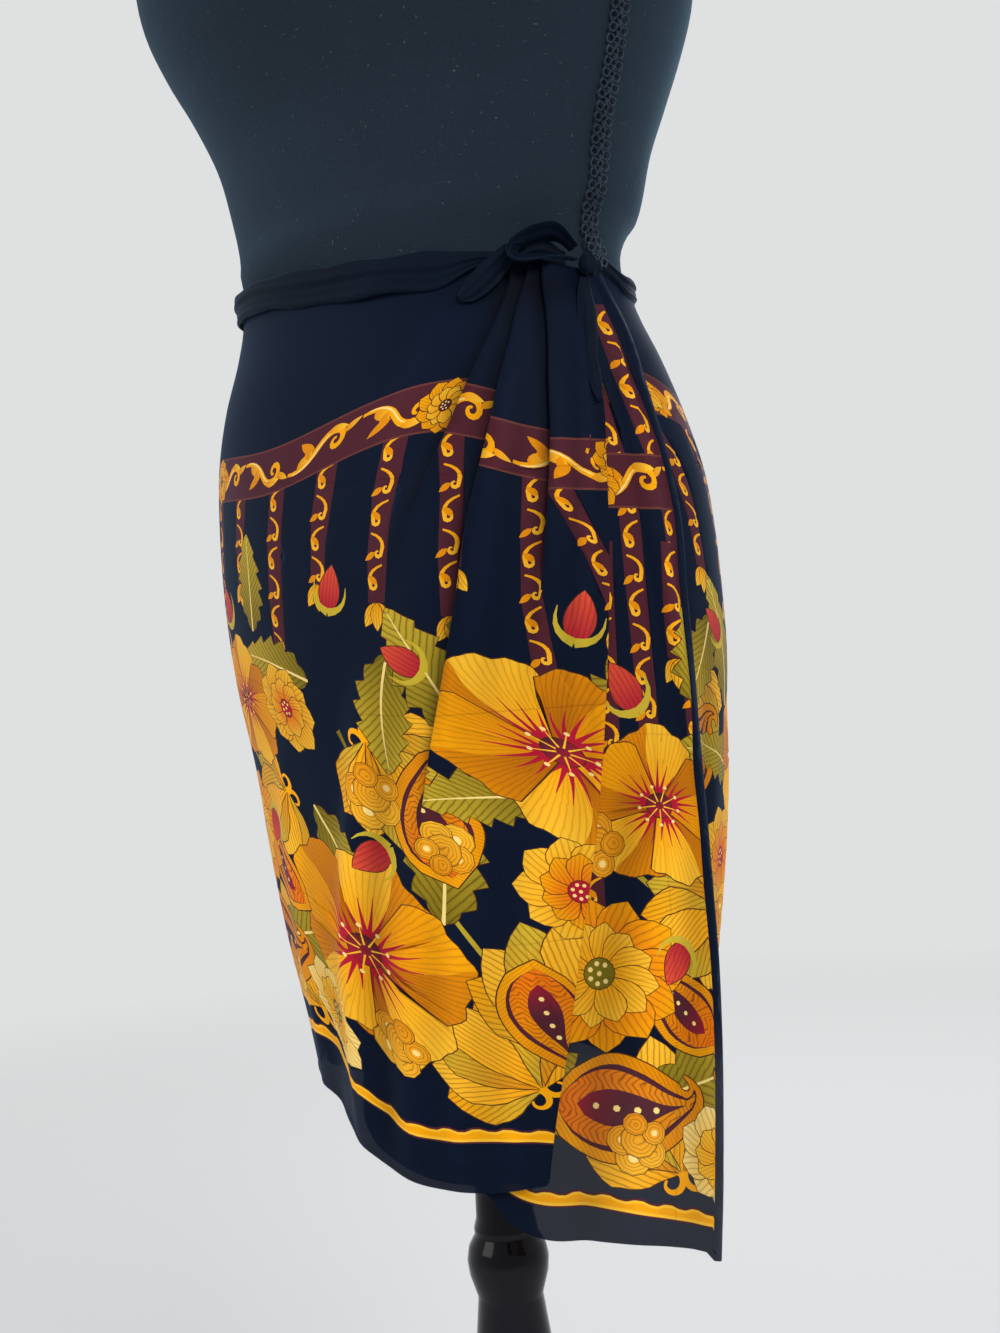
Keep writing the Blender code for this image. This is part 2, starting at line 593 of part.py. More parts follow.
# ---------------------------------------------------------------- build
for old in list(bpy.data.objects):
    bpy.data.objects.remove(old, do_unlink=True)
make_stand()
make_form()
make_side_braid()
make_inner_front()
make_back()
make_tail()
make_turned_under()
make_front()
make_free_band()
make_waist_tie()
make_knot_and_bow()
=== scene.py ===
"""Wrap skirt of printed silk georgette on a jersey dress form with a turned black stand.

The file follows the object from the floor up: the stand, the form with its braid, the oblong of printed cloth in
its two lengths, and the tie with its knot and bow. Lengths are metres. Angles are degrees round the body, from its
front (0) through the left hip (90) and the back (180) to the right hip (270 or -90).
"""
import math

import bmesh
import bpy
import numpy as np
from mathutils import Matrix, Vector
from mathutils.geometry import delaunay_2d_cdt
from mathutils.kdtree import KDTree


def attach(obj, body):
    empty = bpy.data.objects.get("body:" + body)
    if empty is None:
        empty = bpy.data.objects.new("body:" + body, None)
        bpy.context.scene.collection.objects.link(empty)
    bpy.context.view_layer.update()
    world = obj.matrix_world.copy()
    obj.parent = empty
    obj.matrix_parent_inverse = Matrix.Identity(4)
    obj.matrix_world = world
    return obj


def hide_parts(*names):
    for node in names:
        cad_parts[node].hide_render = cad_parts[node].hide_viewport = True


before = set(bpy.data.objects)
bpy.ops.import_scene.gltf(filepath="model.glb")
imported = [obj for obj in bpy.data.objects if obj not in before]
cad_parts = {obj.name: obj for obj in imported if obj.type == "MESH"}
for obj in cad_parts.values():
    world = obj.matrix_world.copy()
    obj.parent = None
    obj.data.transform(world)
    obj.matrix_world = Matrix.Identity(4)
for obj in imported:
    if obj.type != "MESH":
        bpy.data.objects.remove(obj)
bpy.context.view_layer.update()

# ------------------------------------------------------------------------------------------- camera, light, floor
# The camera stands near the left front at hip height, level, and rolled as the form leans on its loose stand.
CAMERA_ROUND = math.radians(47.0)     # from the form's front towards its left hip
CAMERA_AWAY = 0.95
CAMERA_HEIGHT = 0.80
CAMERA_ROLL = math.radians(4.2)
FRAME_WIDE, FRAME_HIGH = 1000.0, 1333.0
FOCAL_PIXELS = 1620.0
AXIS_COLUMN = 465.0                   # where the stand's axis crosses the frame at the camera's height
FILM_HIGH = 36.0                      # millimetres

turn_aside = math.atan2(FRAME_WIDE / 2 - AXIS_COLUMN, FOCAL_PIXELS)
to_axis = Vector((-math.sin(CAMERA_ROUND), math.cos(CAMERA_ROUND), 0.0))
to_side = Vector((math.cos(CAMERA_ROUND), math.sin(CAMERA_ROUND), 0.0))
looks = to_axis * math.cos(turn_aside) + to_side * math.sin(turn_aside)
level = to_side * math.cos(turn_aside) - to_axis * math.sin(turn_aside)
up = Vector((0.0, 0.0, 1.0))
right = level * math.cos(CAMERA_ROLL) - up * math.sin(CAMERA_ROLL)
top = up * math.cos(CAMERA_ROLL) + level * math.sin(CAMERA_ROLL)
place = -to_axis * CAMERA_AWAY + up * CAMERA_HEIGHT

lens = bpy.data.cameras.new("camera")
lens.sensor_fit = "VERTICAL"
lens.sensor_height = FILM_HIGH
lens.sensor_width = FILM_HIGH * FRAME_WIDE / FRAME_HIGH
lens.lens = FOCAL_PIXELS / FRAME_HIGH * FILM_HIGH
lens.clip_start = 0.05
camera = bpy.data.objects.new("camera", lens)
camera.matrix_world = Matrix(((right.x, top.x, -looks.x, place.x), (right.y, top.y, -looks.y, place.y),
                              (right.z, top.z, -looks.z, place.z), (0, 0, 0, 1)))
bpy.context.scene.collection.objects.link(camera)
bpy.context.scene.camera = camera
bpy.context.scene.view_settings.view_transform = "Standard"

# Even pale air all round, a little dimmer on the camera's side, so that one side of each fold stays darker.
world = bpy.data.worlds.new("studio")
world.use_nodes = True
air = world.node_tree
facing = air.nodes.new("ShaderNodeVectorMath")
facing.operation = "DOT_PRODUCT"
facing.inputs[1].default_value = to_axis
air.links.new(air.nodes.new("ShaderNodeTexCoord").outputs["Generated"], facing.inputs[0])
glow = air.nodes.new("ShaderNodeMapRange")
for socket, value in (("From Min", -0.9), ("From Max", 0.5), ("To Min", 0.42), ("To Max", 0.75)):
    glow.inputs[socket].default_value = value
air.links.new(facing.outputs["Value"], glow.inputs["Value"])
air.links.new(glow.outputs["Result"], air.nodes["Background"].inputs["Strength"])
air.nodes["Background"].inputs["Color"].default_value = (0.985, 0.995, 1.0, 1.0)
bpy.context.scene.world = world


def softbox(name, at, aim, size, power, colour):
    """Square-edged area light of the given size, in watts, turned towards what it aims at."""
    lamp = bpy.data.lights.new(name, "AREA")
    lamp.shape = "RECTANGLE"
    lamp.size, lamp.size_y = size
    lamp.energy = power
    lamp.color = colour
    holder = bpy.data.objects.new(name, lamp)
    holder.location = at
    holder.rotation_euler = (Vector(aim) - Vector(at)).to_track_quat("-Z", "Y").to_euler()
    bpy.context.scene.collection.objects.link(holder)


softbox("window", (-0.9, -2.5, 1.9), (0.0, 0.0, 0.85), (1.6, 1.8), 26.0, (1.0, 0.985, 0.96))
softbox("key", (2.5, -0.9, 2.3), (0.0, 0.0, 0.85), (1.1, 1.1), 46.0, (1.0, 0.99, 0.975))
softbox("back", (-1.3, 2.4, 2.0), (0.0, 0.0, 1.0), (1.6, 1.6), 24.0, (0.97, 0.985, 1.0))


# Shader maths is written as expressions on this wrapper; any other node comes from Shader.node.
class Value:
    """A number or link in a shader tree, on which + - * / add Math nodes."""

    def __init__(self, shader, socket):
        self.shader = shader
        self.socket = socket

    def maths(self, operation, *others):
        return self.shader.node("ShaderNodeMath", {"operation": operation}, [self, *others])

    def __add__(self, other):
        return self.maths("ADD", other)

    def __sub__(self, other):
        return self.maths("SUBTRACT", other)

    def __mul__(self, other):
        return self.maths("MULTIPLY", other)

    def __truediv__(self, other):
        return self.maths("DIVIDE", other)

    def __rsub__(self, other):
        return self.shader.node("ShaderNodeMath", {"operation": "SUBTRACT"}, [other, self])

    __radd__ = __add__
    __rmul__ = __mul__

    def over(self, other):
        return self.maths("GREATER_THAN", other)

    def clamped(self):
        return self.shader.node("ShaderNodeClamp", {}, [self])


class Shader:
    """A Principled material under construction."""

    def __init__(self, name, colour, roughness, **fixed):
        self.material = bpy.data.materials.new(name)
        self.material.use_nodes = True
        self.nodes = self.material.node_tree.nodes
        self.links = self.material.node_tree.links
        self.surface = self.nodes["Principled BSDF"]
        self.give(Base_Color=(*colour, 1.0), Roughness=roughness, **fixed)

    def node(self, kind, settings, inputs=(), output=0):
        """Adds a node; inputs is a list in socket order or a dict by socket name, of values or links."""
        made = self.nodes.new(kind)
        for name, value in settings.items():
            setattr(made, name, value)
        pairs = inputs.items() if isinstance(inputs, dict) else enumerate(inputs)
        for key, value in pairs:
            self.join(value, made.inputs[key])
        return Value(self, made.outputs[output])

    def join(self, value, socket):
        if isinstance(value, Value):
            self.links.new(value.socket, socket)
        else:
            socket.default_value = value

    def mix(self, share, first, second, blend="MIX"):
        """Mix of two colours; a plain tuple is a fixed colour."""
        made = self.nodes.new("ShaderNodeMix")
        made.data_type = "RGBA"
        made.blend_type = blend
        for value, socket in ((share, made.inputs[0]), (first, made.inputs[6]), (second, made.inputs[7])):
            self.join((*value, 1.0) if isinstance(value, tuple) and len(value) == 3 else value, socket)
        return Value(self, made.outputs[2])

    def place(self, scale=(1.0, 1.0, 1.0), uv=None):
        """Object coordinates in metres, or a named UV map, through a Mapping node."""
        if uv:
            source = self.node("ShaderNodeUVMap", {"uv_map": uv})
        else:
            source = self.node("ShaderNodeTexCoord", {}, (), "Object")
        return self.node("ShaderNodeMapping", {}, {"Vector": source, "Scale": scale})

    def noise(self, where, scale, detail=3.0, roughness=0.5, distortion=0.0):
        return self.node("ShaderNodeTexNoise", {}, {"Vector": where, "Scale": scale, "Detail": detail,
                                                    "Roughness": roughness, "Distortion": distortion}, "Fac")

    def bump(self, height, strength, distance):
        return self.node("ShaderNodeBump", {}, {"Height": height, "Strength": strength, "Distance": distance})

    def give(self, **sockets):
        """Sets the surface's sockets, named with _ for a space, to values or links."""
        for socket, value in sockets.items():
            self.join(value, self.surface.inputs[socket.replace("_", " ")])
        return self.material


def srgb(red, green, blue):
    """A colour written as 0..255 screen values, as linear light."""
    return tuple((c / 255 / 12.92) if c / 255 <= 0.04045 else ((c / 255 + 0.055) / 1.055) ** 2.4
                 for c in (red, green, blue))


FLOOR_COLOUR = (0.72, 0.73, 0.74)
FLOOR_RADIUS = 3.6
FLOOR_LEVEL = -0.0004                 # just under the foot
FADES_FROM, FADES_TO = 1.2, 3.4       # distances out between which the floor melts into the air


def pale_floor(name, colour):
    floor = Shader(name, colour, 0.9)
    where = floor.place()
    out = floor.node("ShaderNodeVectorMath", {"operation": "LENGTH"}, [where], "Value")
    tone = floor.mix(floor.noise(where, 1.3, 2.0) * 0.35, colour, tuple(c * 0.94 for c in colour))
    return floor.give(Base_Color=tone, Alpha=((FADES_TO - out) / (FADES_TO - FADES_FROM)).clamped())


rim = np.radians(np.arange(0, 360, 5))
floor_mesh = bpy.data.meshes.new("studio_floor")
floor_mesh.from_pydata([(FLOOR_RADIUS * math.cos(a), FLOOR_RADIUS * math.sin(a), FLOOR_LEVEL) for a in rim], [],
                       [tuple(range(len(rim)))])
floor_mesh.materials.append(pale_floor("studio_floor", FLOOR_COLOUR))
floor = bpy.data.objects.new("studio_floor", floor_mesh)
bpy.context.scene.collection.objects.link(floor)


# --------------------------------------------------------------------------------------------------- stand
# Turned wooden post and round foot, ebonised and lacquered to a high gloss. The post is one turning, with a ring
# of small beads under the hem and a flange that carries the form; the foot is weighted and stands on the floor.
# Profiles are heights with radii.
POST = ((0.0285, 0.0300), (0.0340, 0.0390), (0.0440, 0.0430), (0.0540, 0.0390), (0.0600, 0.0280), (0.0700, 0.0240),
        (0.1000, 0.0225), (0.1700, 0.0235), (0.2400, 0.0270), (0.3000, 0.0290), (0.3600, 0.0275), (0.4000, 0.0230),
        (0.4260, 0.0196), (0.4340, 0.0190), (0.4400, 0.0215), (0.4480, 0.0235), (0.4560, 0.0241), (0.4630, 0.0225),
        (0.4680, 0.0195), (0.4700, 0.0180), (0.4730, 0.0192), (0.4760, 0.0180), (0.4800, 0.0168), (0.5200, 0.0160),
        (0.7600, 0.0160), (0.7700, 0.0300), (0.7820, 0.0340), (0.7955, 0.0340))
FOOT = ((0.0000, 0.1960), (0.0030, 0.2000), (0.0160, 0.2000), (0.0210, 0.1960), (0.0230, 0.1850),
        (0.0240, 0.0700), (0.0282, 0.0500))
LEAST_BEND = 0.10                     # radians of bend, or metres of length, at which a profile gets a point
LONGEST_STEP = 0.03


def eased_profile(profile, softness):
    """The profile's corners rounded over about that length, with points where it bends."""
    spots = np.array(profile)
    along = np.concatenate([[0], np.cumsum(np.hypot(*np.diff(spots, axis=0).T))])
    step = softness / 4
    count = int(along[-1] / step)
    fine = np.column_stack([np.interp(np.linspace(0, along[-1], count), along, spots[:, k]) for k in (0, 1)])
    weights = np.exp(-np.linspace(-2.5, 2.5, 21) ** 2)
    padded = np.vstack([2 * fine[0] - fine[10:0:-1], fine, 2 * fine[-1] - fine[-2:-12:-1]])
    soft = np.column_stack([np.convolve(padded[:, k], weights / weights.sum(), "valid") for k in (0, 1)])
    kept = [0]
    for i in range(1, count - 1):
        before, after = soft[i] - soft[kept[-1]], soft[i + 1] - soft[i]
        bend = abs(math.atan2(before[0] * after[1] - before[1] * after[0], before @ after))
        if bend > LEAST_BEND or np.hypot(*before) > LONGEST_STEP:
            kept.append(i)
    return soft[kept + [count - 1]]


def put(name, mesh, material):
    """A finished mesh as a piece of the scene, at the origin, with its faces turned outwards."""
    work = bmesh.new()
    work.from_mesh(mesh)
    bmesh.ops.recalc_face_normals(work, faces=work.faces)
    work.to_mesh(mesh)
    work.free()
    mesh.shade_smooth()
    mesh.materials.append(material)
    piece = bpy.data.objects.new(name, mesh)
    bpy.context.scene.collection.objects.link(piece)
    return piece


def rings_mesh(name, rings):
    """Closed mesh through rings of equal length, with a fan of faces over each end."""
    rings = np.asarray(rings, float)
    count, size = rings.shape[:2]
    points = np.vstack([rings.reshape(-1, 3), rings[0].mean(axis=0), rings[-1].mean(axis=0)])
    faces = []
    for i in range(size):
        j = (i + 1) % size
        faces += [(r * size + i, r * size + j, (r + 1) * size + j, (r + 1) * size + i) for r in range(count - 1)]
        faces += [(j, i, count * size), ((count - 1) * size + i, (count - 1) * size + j, count * size + 1)]
    mesh = bpy.data.meshes.new(name)
    mesh.from_pydata(points.tolist(), [], faces)
    return mesh


def fasten(piece, slot, *nodes):
    """The piece rides on the one body and stands for the nodes, which it hides; slot is not used."""
    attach(piece, "root")
    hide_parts(*nodes)


def turned(name, profile, sides, softness):
    """A piece turned to a profile about the stand's axis."""
    around = np.linspace(0, 2 * math.pi, sides, endpoint=False)
    rings = [np.column_stack([r * np.cos(around), r * np.sin(around), np.full(sides, z)])
             for z, r in eased_profile(profile, softness)]
    return put(name, rings_mesh(name, rings), black_lacquer)


def lacquer(name):
    """Black polished lacquer, a little cloudy, with a faint grain under it and settled dust."""
    wood = Shader(name, (0.004, 0.004, 0.006), 0.16, Specular_IOR_Level=0.14, Coat_Weight=0.10,
                  Coat_Roughness=0.05)
    where = wood.place()
    grain = wood.noise(wood.place((60.0, 60.0, 6.0)), 1.0, 5.0, 0.6)
    cloud = wood.noise(where, 14.0, 3.0)
    dust = (wood.noise(where, 900.0, 2.0, 0.7) - 0.70).clamped() * 3.0
    colour = wood.mix(grain, (0.002, 0.002, 0.005), (0.005, 0.005, 0.009))
    colour = wood.mix(dust.clamped() * 0.35, colour, (0.10, 0.11, 0.13))
    return wood.give(Base_Color=colour, Roughness=cloud * 0.10 + 0.11 + dust * 0.2,
                     Normal=wood.bump(grain, 0.12, 0.0006))


black_lacquer = lacquer("black_lacquer")
fasten(turned("stand_turned_post", POST, sides=96, softness=0.0022), "ebonised_wood", "stand_post")
fasten(turned("stand_round_foot", FOOT, sides=160, softness=0.0020), "ebonised_wood", "stand_foot")


# ---------------------------------------------------------------------------------------------------- form
# Padded body form without arms or head, covered in one tube of fine black-blue jersey that is drawn over it and
# gathers lint. A turned cap closes the neck. The sections are heights with half width, half depth and set-back.
FORM = ((0.796, 0.1400, 0.1030, 0.0060), (0.799, 0.1500, 0.1120, 0.0060), (0.808, 0.1555, 0.1170, 0.0058),
        (1.037, 0.1311, 0.0942, -0.0052), (1.044, 0.1340, 0.0980, -0.0022), (1.050, 0.1352, 0.0988, -0.0004),
        (1.080, 0.1413, 0.1046, 0.0026), (1.110, 0.1487, 0.1159, 0.0068), (1.140, 0.1588, 0.1302, 0.0062),
        (1.165, 0.1685, 0.1410, 0.0020), (1.190, 0.1755, 0.1440, -0.0045), (1.220, 0.1790, 0.1415, -0.0080),
        (1.260, 0.1800, 0.1325, -0.0070), (1.300, 0.1800, 0.1210, -0.0020), (1.340, 0.1785, 0.1070, 0.0045),
        (1.370, 0.1735, 0.0930, 0.0080), (1.393, 0.1580, 0.0805, 0.0090), (1.412, 0.1290, 0.0700, 0.0070),
        (1.426, 0.0970, 0.0640, 0.0030), (1.440, 0.0720, 0.0590, 0.0000), (1.458, 0.0590, 0.0560, -0.0040),
        (1.490, 0.0545, 0.0540, -0.0080), (1.520, 0.0540, 0.0535, -0.0110))
SKIRT = ((1.035, 0.1302, 0.0924, -0.0070), (1.010, 0.1296, 0.0917, -0.0076), (0.990, 0.1344, 0.0955, -0.0078),
         (0.960, 0.1470, 0.1044, -0.0068), (0.930, 0.1568, 0.1113, -0.0045), (0.900, 0.1624, 0.1169, -0.0005),
         (0.870, 0.1642, 0.1199, 0.0018), (0.840, 0.1640, 0.1214, 0.0037), (0.800, 0.1610, 0.1225, 0.0070),
         (0.750, 0.1531, 0.1194, 0.0105), (0.700, 0.1448, 0.1173, 0.0119), (0.650, 0.1350, 0.1127, 0.0127),
         (0.600, 0.1234, 0.1068, 0.0145), (0.550, 0.1146, 0.1030, 0.0158), (0.470, 0.1072, 0.0985, 0.0163))
# Under the skirt the form keeps the skirt's sections, drawn in by a small clearance.
UNDER_SKIRT = (0.830, 0.860, 0.890, 0.920, 0.945, 0.965, 0.980, 0.993, 1.003, 1.013, 1.024)
CLEAR_OF_SKIRT = 0.0022
NECK_TOP = 1.520
RIGHT_SEAM = 270.5                    # where the jersey tube is sewn up


def curve(rows, column, samples=1500):
    """A column of a table as a smooth function of the first column, for numbers or arrays."""
    rows = sorted(rows)
    keys = np.array([row[0] for row in rows], float)
    values = np.array([row[column] for row in rows], float)
    slopes = np.diff(values) / np.diff(keys)
    ends = np.concatenate([[slopes[0]], (slopes[1:] + slopes[:-1]) / 2, [slopes[-1]]])
    fine = np.linspace(keys[0], keys[-1], samples)
    i = np.clip(np.searchsorted(keys, fine, "right") - 1, 0, len(keys) - 2)
    span = keys[i + 1] - keys[i]
    t = (fine - keys[i]) / span
    smooth = ((2 * t**3 - 3 * t**2 + 1) * values[i] + (t**3 - 2 * t**2 + t) * ends[i] * span
              + (3 * t**2 - 2 * t**3) * values[i + 1] + (t**3 - t**2) * ends[i + 1] * span)
    return lambda at: np.interp(at, fine, smooth)


def ease(low, high, at):
    """0 before low, 1 past high, a smooth rise between; works downwards when low > high."""
    t = np.clip((at - low) / (high - low), 0.0, 1.0)
    return t * t * (3 - 2 * t)


def on_oval(angle, wide, deep, back, height, outward):
    """Points on an oval ring round the body, moved out along the ring's own normal."""
    s, c = np.sin(np.radians(angle)), np.cos(np.radians(angle))
    nx, ny = s / wide, -c / deep
    length = np.hypot(nx, ny)
    return np.stack(np.broadcast_arrays(wide * s + nx / length * outward, back - deep * c + ny / length * outward,
                                        height), axis=-1)


skirt_wide, skirt_deep, skirt_back = (curve(SKIRT, column) for column in (1, 2, 3))
form_table = list(FORM) + [(z, float(skirt_wide(z)) - CLEAR_OF_SKIRT, float(skirt_deep(z)) - CLEAR_OF_SKIRT,
                            float(skirt_back(z))) for z in UNDER_SKIRT]
form_wide, form_deep, form_back = (curve(form_table, column) for column in (1, 2, 3))


def form_point(angle, height, outward):
    return on_oval(angle, form_wide(height), form_deep(height), form_back(height), height, outward)


def jersey(name):
    """Fine knit: faint wales and courses, a bloom of fuzz, and lint in short pale threads."""
    knit = Shader(name, srgb(26, 35, 46), 0.92, Sheen_Weight=0.15, Sheen_Roughness=0.45,
                  Sheen_Tint=(0.36, 0.70, 1.0, 1.0), Specular_IOR_Level=0.08)
    where = knit.place()
    wales = knit.noise(knit.place((700.0, 700.0, 90.0)), 1.0, 2.0, 0.6)
    courses = knit.noise(knit.place((90.0, 90.0, 800.0)), 1.0, 2.0, 0.6)
    cloud = knit.noise(where, 7.0, 4.0, 0.6)
    fuzz = knit.noise(where, 1600.0, 2.0, 0.8)
    lint = (knit.noise(knit.place((260.0, 60.0, 700.0)), 1.0, 2.0, 0.5, 0.6) - 0.70).clamped() * 9.0
    specks = (knit.noise(where, 420.0, 1.0, 0.4) - 0.735).clamped() * 14.0
    colour = knit.mix(cloud, srgb(24, 32, 43), srgb(34, 43, 54))
    colour = knit.mix((wales * courses * 1.6).clamped() * 0.35, colour, srgb(42, 55, 65))
    colour = knit.mix((lint.clamped() * 0.22 + specks.clamped() * 0.16).clamped(), colour, srgb(128, 140, 146))
    rise = wales * 0.5 + courses * 0.5 + fuzz * 0.5
    return knit.give(Base_Color=colour, Roughness=0.96 - fuzz * 0.10, Normal=knit.bump(rise, 0.22, 0.0006))


form_jersey = jersey("form_jersey")
levels = np.unique(np.concatenate([[row[0] for row in FORM[:3]], np.linspace(0.808, NECK_TOP, 128)]))
around = np.arange(144) * 360 / 144
form_rings = []
for height in levels:
    unevenness = 0.0004 * np.sin(np.radians(3 * around + 900 * height)) * np.sin(40 * height)
    right_seam = -0.0007 * np.exp(-((around - RIGHT_SEAM) / 0.9) ** 2)
    form_rings.append(form_point(around, height, unevenness + right_seam))
form_torso = put("form_jersey_torso", rings_mesh("form_jersey_torso", form_rings), form_jersey)
fasten(form_torso, "form_jersey", "form_torso")

_, neck_wide, neck_deep, neck_back = FORM[-1]
around = np.arange(96) * 360 / 96
cap_rings = [on_oval(around, neck_wide * share, neck_deep * share, neck_back, NECK_TOP + rise, 0.0)
             for rise, share in ((0.0003, 0.93), (0.0008, 0.97), (0.0022, 0.995), (0.0040, 1.0), (0.0095, 1.0),
                                 (0.0120, 0.99), (0.0134, 0.965), (0.0140, 0.93), (0.0140, 0.5))]
neck_cap = put("form_turned_neck_cap", rings_mesh("form_turned_neck_cap", cap_rings), black_lacquer)
fasten(neck_cap, "ebonised_wood", "form_neck_cap")


# --------------------------------------------------------------------------------------------------- braid
# Gimp braid sewn down the left side seam: two cords twisted into a chain, each throwing a small round loop
# outwards at every turn. It leans back over its last few centimetres and ends behind the knot. The seam it follows
# is given as heights with angles.
BRAID_PITCH = 0.0057
BRAID_FROM, BRAID_TO = 1.0085, 1.3695
CORD_RADIUS = 0.00064
WOBBLE = (0.10, 0.10, 0.13)           # most that a link turns out of line, in radians
BRAID_SEAM = ((1.000, 90.4), (1.012, 90.0), (1.026, 89.0), (1.044, 86.7), (1.060, 85.6), (1.140, 85.2),
              (1.400, 85.2))


def braid_link():
    """One turn of the braid, as two open cords: along y, across x, rising in z."""
    t = np.linspace(0, 1, 15)
    swing = np.radians(-60 + 420 * t)
    spots = []
    for side in (-1, 1):
        loop = np.column_stack([side * (0.0038 - 0.0022 * np.cos(swing)), 0.0023 * np.sin(swing) - 0.0006 * side,
                                0.0011 + 0.0004 * np.sin(3 * swing)])
        stem = np.array([(side * 0.0009, -0.0036, 0.0016), (-side * 0.0009, -0.0014, 0.0022)])
        onward = [(side * 0.0011, 0.0014, 0.0017), (-side * 0.0009, 0.0034, 0.0018)]
        spots.append(np.vstack([stem, loop[1:-1], onward]))
    data = bpy.data.curves.new("braid_link", "CURVE")
    data.dimensions = "3D"
    for cord in spots:
        spline = data.splines.new("POLY")
        spline.points.add(len(cord) - 1)
        spline.points.foreach_set("co", np.column_stack([cord, np.ones(len(cord))]).ravel())
    data.bevel_depth = CORD_RADIUS
    data.bevel_resolution = 1
    data.use_fill_caps = True
    holder = bpy.data.objects.new("braid_link", data)
    bpy.context.scene.collection.objects.link(holder)
    return holder


def braid_cord(name):
    """Black rayon cord of a low gloss, with painted highlights on its strands where they would catch the light."""
    cord = Shader(name, srgb(16, 24, 40), 0.66, Specular_IOR_Level=0.2, Sheen_Weight=0.20, Sheen_Roughness=0.4,
                  Sheen_Tint=(0.7, 0.8, 0.95, 1.0))
    strands = cord.noise(cord.place((900.0, 900.0, 2600.0)), 1.0, 2.0)
    glint_patches = cord.noise(cord.place(), 60.0, 3.0)
    # The lighter strand colour is a painted highlight.
    return cord.give(Base_Color=cord.mix(strands * glint_patches * 1.7, srgb(11, 18, 31), srgb(48, 62, 80)),
                     Roughness=0.72 - strands * 0.2, Normal=cord.bump(strands, 0.5, 0.0003))


class Tree:
    """A Geometry Nodes tree under construction, with named inputs."""

    def __init__(self, name):
        self.tree = bpy.data.node_groups.new(name, "GeometryNodeTree")
        self.tree.is_modifier = True
        self.inputs = {}
        for way in ("INPUT", "OUTPUT"):
            self.tree.interface.new_socket("Geometry", in_out=way, socket_type="NodeSocketGeometry")
        self.entry = self.tree.nodes.new("NodeGroupInput")
        self.exit = self.tree.nodes.new("NodeGroupOutput")

    def size(self, label, kind, value):
        """A named input with its value, set by its identifier when the tree is run."""
        socket = self.tree.interface.new_socket(label, in_out="INPUT", socket_type=kind)
        self.inputs[socket.identifier] = value
        return self.entry.outputs[label]

    def node(self, kind, settings, inputs, output=0):
        made = self.tree.nodes.new(kind)
        for name, value in settings.items():
            setattr(made, name, value)
        for key, value in inputs.items():
            if isinstance(value, bpy.types.NodeSocket):
                self.tree.links.new(value, made.inputs[key])
            else:
                made.inputs[key].default_value = value
        return made.outputs[output]

    def run(self, result, carrier, name, material):
        """Ends the tree in real, painted geometry and gives its result as a plain mesh piece."""
        real = self.node("GeometryNodeRealizeInstances", {}, {"Geometry": result})
        painted = self.node("GeometryNodeSetMaterial", {}, {"Geometry": real, "Material": material})
        self.tree.links.new(painted, self.exit.inputs[0])
        modifier = carrier.modifiers.new(name, "NODES")
        modifier.node_group = self.tree
        for identifier, value in self.inputs.items():
            modifier[identifier] = value
        evaluated = carrier.evaluated_get(bpy.context.evaluated_depsgraph_get())
        mesh = bpy.data.meshes.new_from_object(evaluated)
        bpy.data.objects.remove(carrier)
        return put(name, mesh, material)


def line_object(name, points):
    """A bare line of points with the direction out of the body stored on each."""
    mesh = bpy.data.meshes.new(name)
    mesh.from_pydata([tuple(p) for p, _ in points], [(i, i + 1) for i in range(len(points) - 1)], [])
    out = mesh.attributes.new("out", "FLOAT_VECTOR", "POINT")
    out.data.foreach_set("vector", np.array([o for _, o in points], float).ravel())
    holder = bpy.data.objects.new(name, mesh)
    bpy.context.scene.collection.objects.link(holder)
    return holder


braid_line = []
braid_seam = curve(BRAID_SEAM, 1)
for height in np.arange(BRAID_FROM, BRAID_TO, 0.002):
    seam = float(braid_seam(height))
    spot = form_point(seam, height, 0.0008 + 0.0042 * float(ease(1.026, 1.012, height)))
    above, below = form_point(seam, height + 0.003, 0.0), form_point(seam, height - 0.003, 0.0)
    side = form_point(seam + 1, height, 0.0) - form_point(seam - 1, height, 0.0)
    outwards = np.cross(side, above - below)
    braid_line.append((spot, outwards / np.linalg.norm(outwards)))
braid = Tree("gimp_braid")
pitch = braid.size("Pitch", "NodeSocketFloat", BRAID_PITCH)
seed = braid.size("Seed", "NodeSocketInt", 4)
path = braid.node("GeometryNodeMeshToCurve", {}, {"Mesh": braid.entry.outputs["Geometry"]})
stops = braid.node("GeometryNodeResampleCurve", {"mode": "LENGTH"}, {"Curve": path, "Length": pitch})
out = braid.node("GeometryNodeInputNamedAttribute", {"data_type": "FLOAT_VECTOR"}, {"Name": "out"})
along = braid.node("GeometryNodeInputTangent", {}, {})
facing = braid.node("FunctionNodeAxesToRotation", {"primary_axis": "Z", "secondary_axis": "Y"},
                    {"Primary Axis": out, "Secondary Axis": along})
wobble = braid.node("FunctionNodeRandomValue", {"data_type": "FLOAT_VECTOR"},
                    {"Min": tuple(-most for most in WOBBLE), "Max": WOBBLE, "Seed": seed})
facing = braid.node("FunctionNodeRotateRotation", {"rotation_space": "LOCAL"},
                    {"Rotation": facing, "Rotate By": wobble})
link_holder = braid_link()
link_shape = braid.node("GeometryNodeObjectInfo", {}, {"Object": link_holder}, "Geometry")
links = braid.node("GeometryNodeInstanceOnPoints", {},
                   {"Points": stops, "Instance": link_shape, "Rotation": facing})
side_braid = braid.run(links, line_object("braid_line", braid_line), "form_gimp_braid", braid_cord("black_gimp"))
bpy.data.objects.remove(link_holder)
fasten(side_braid, "gimp_braid", "form_side_braid")


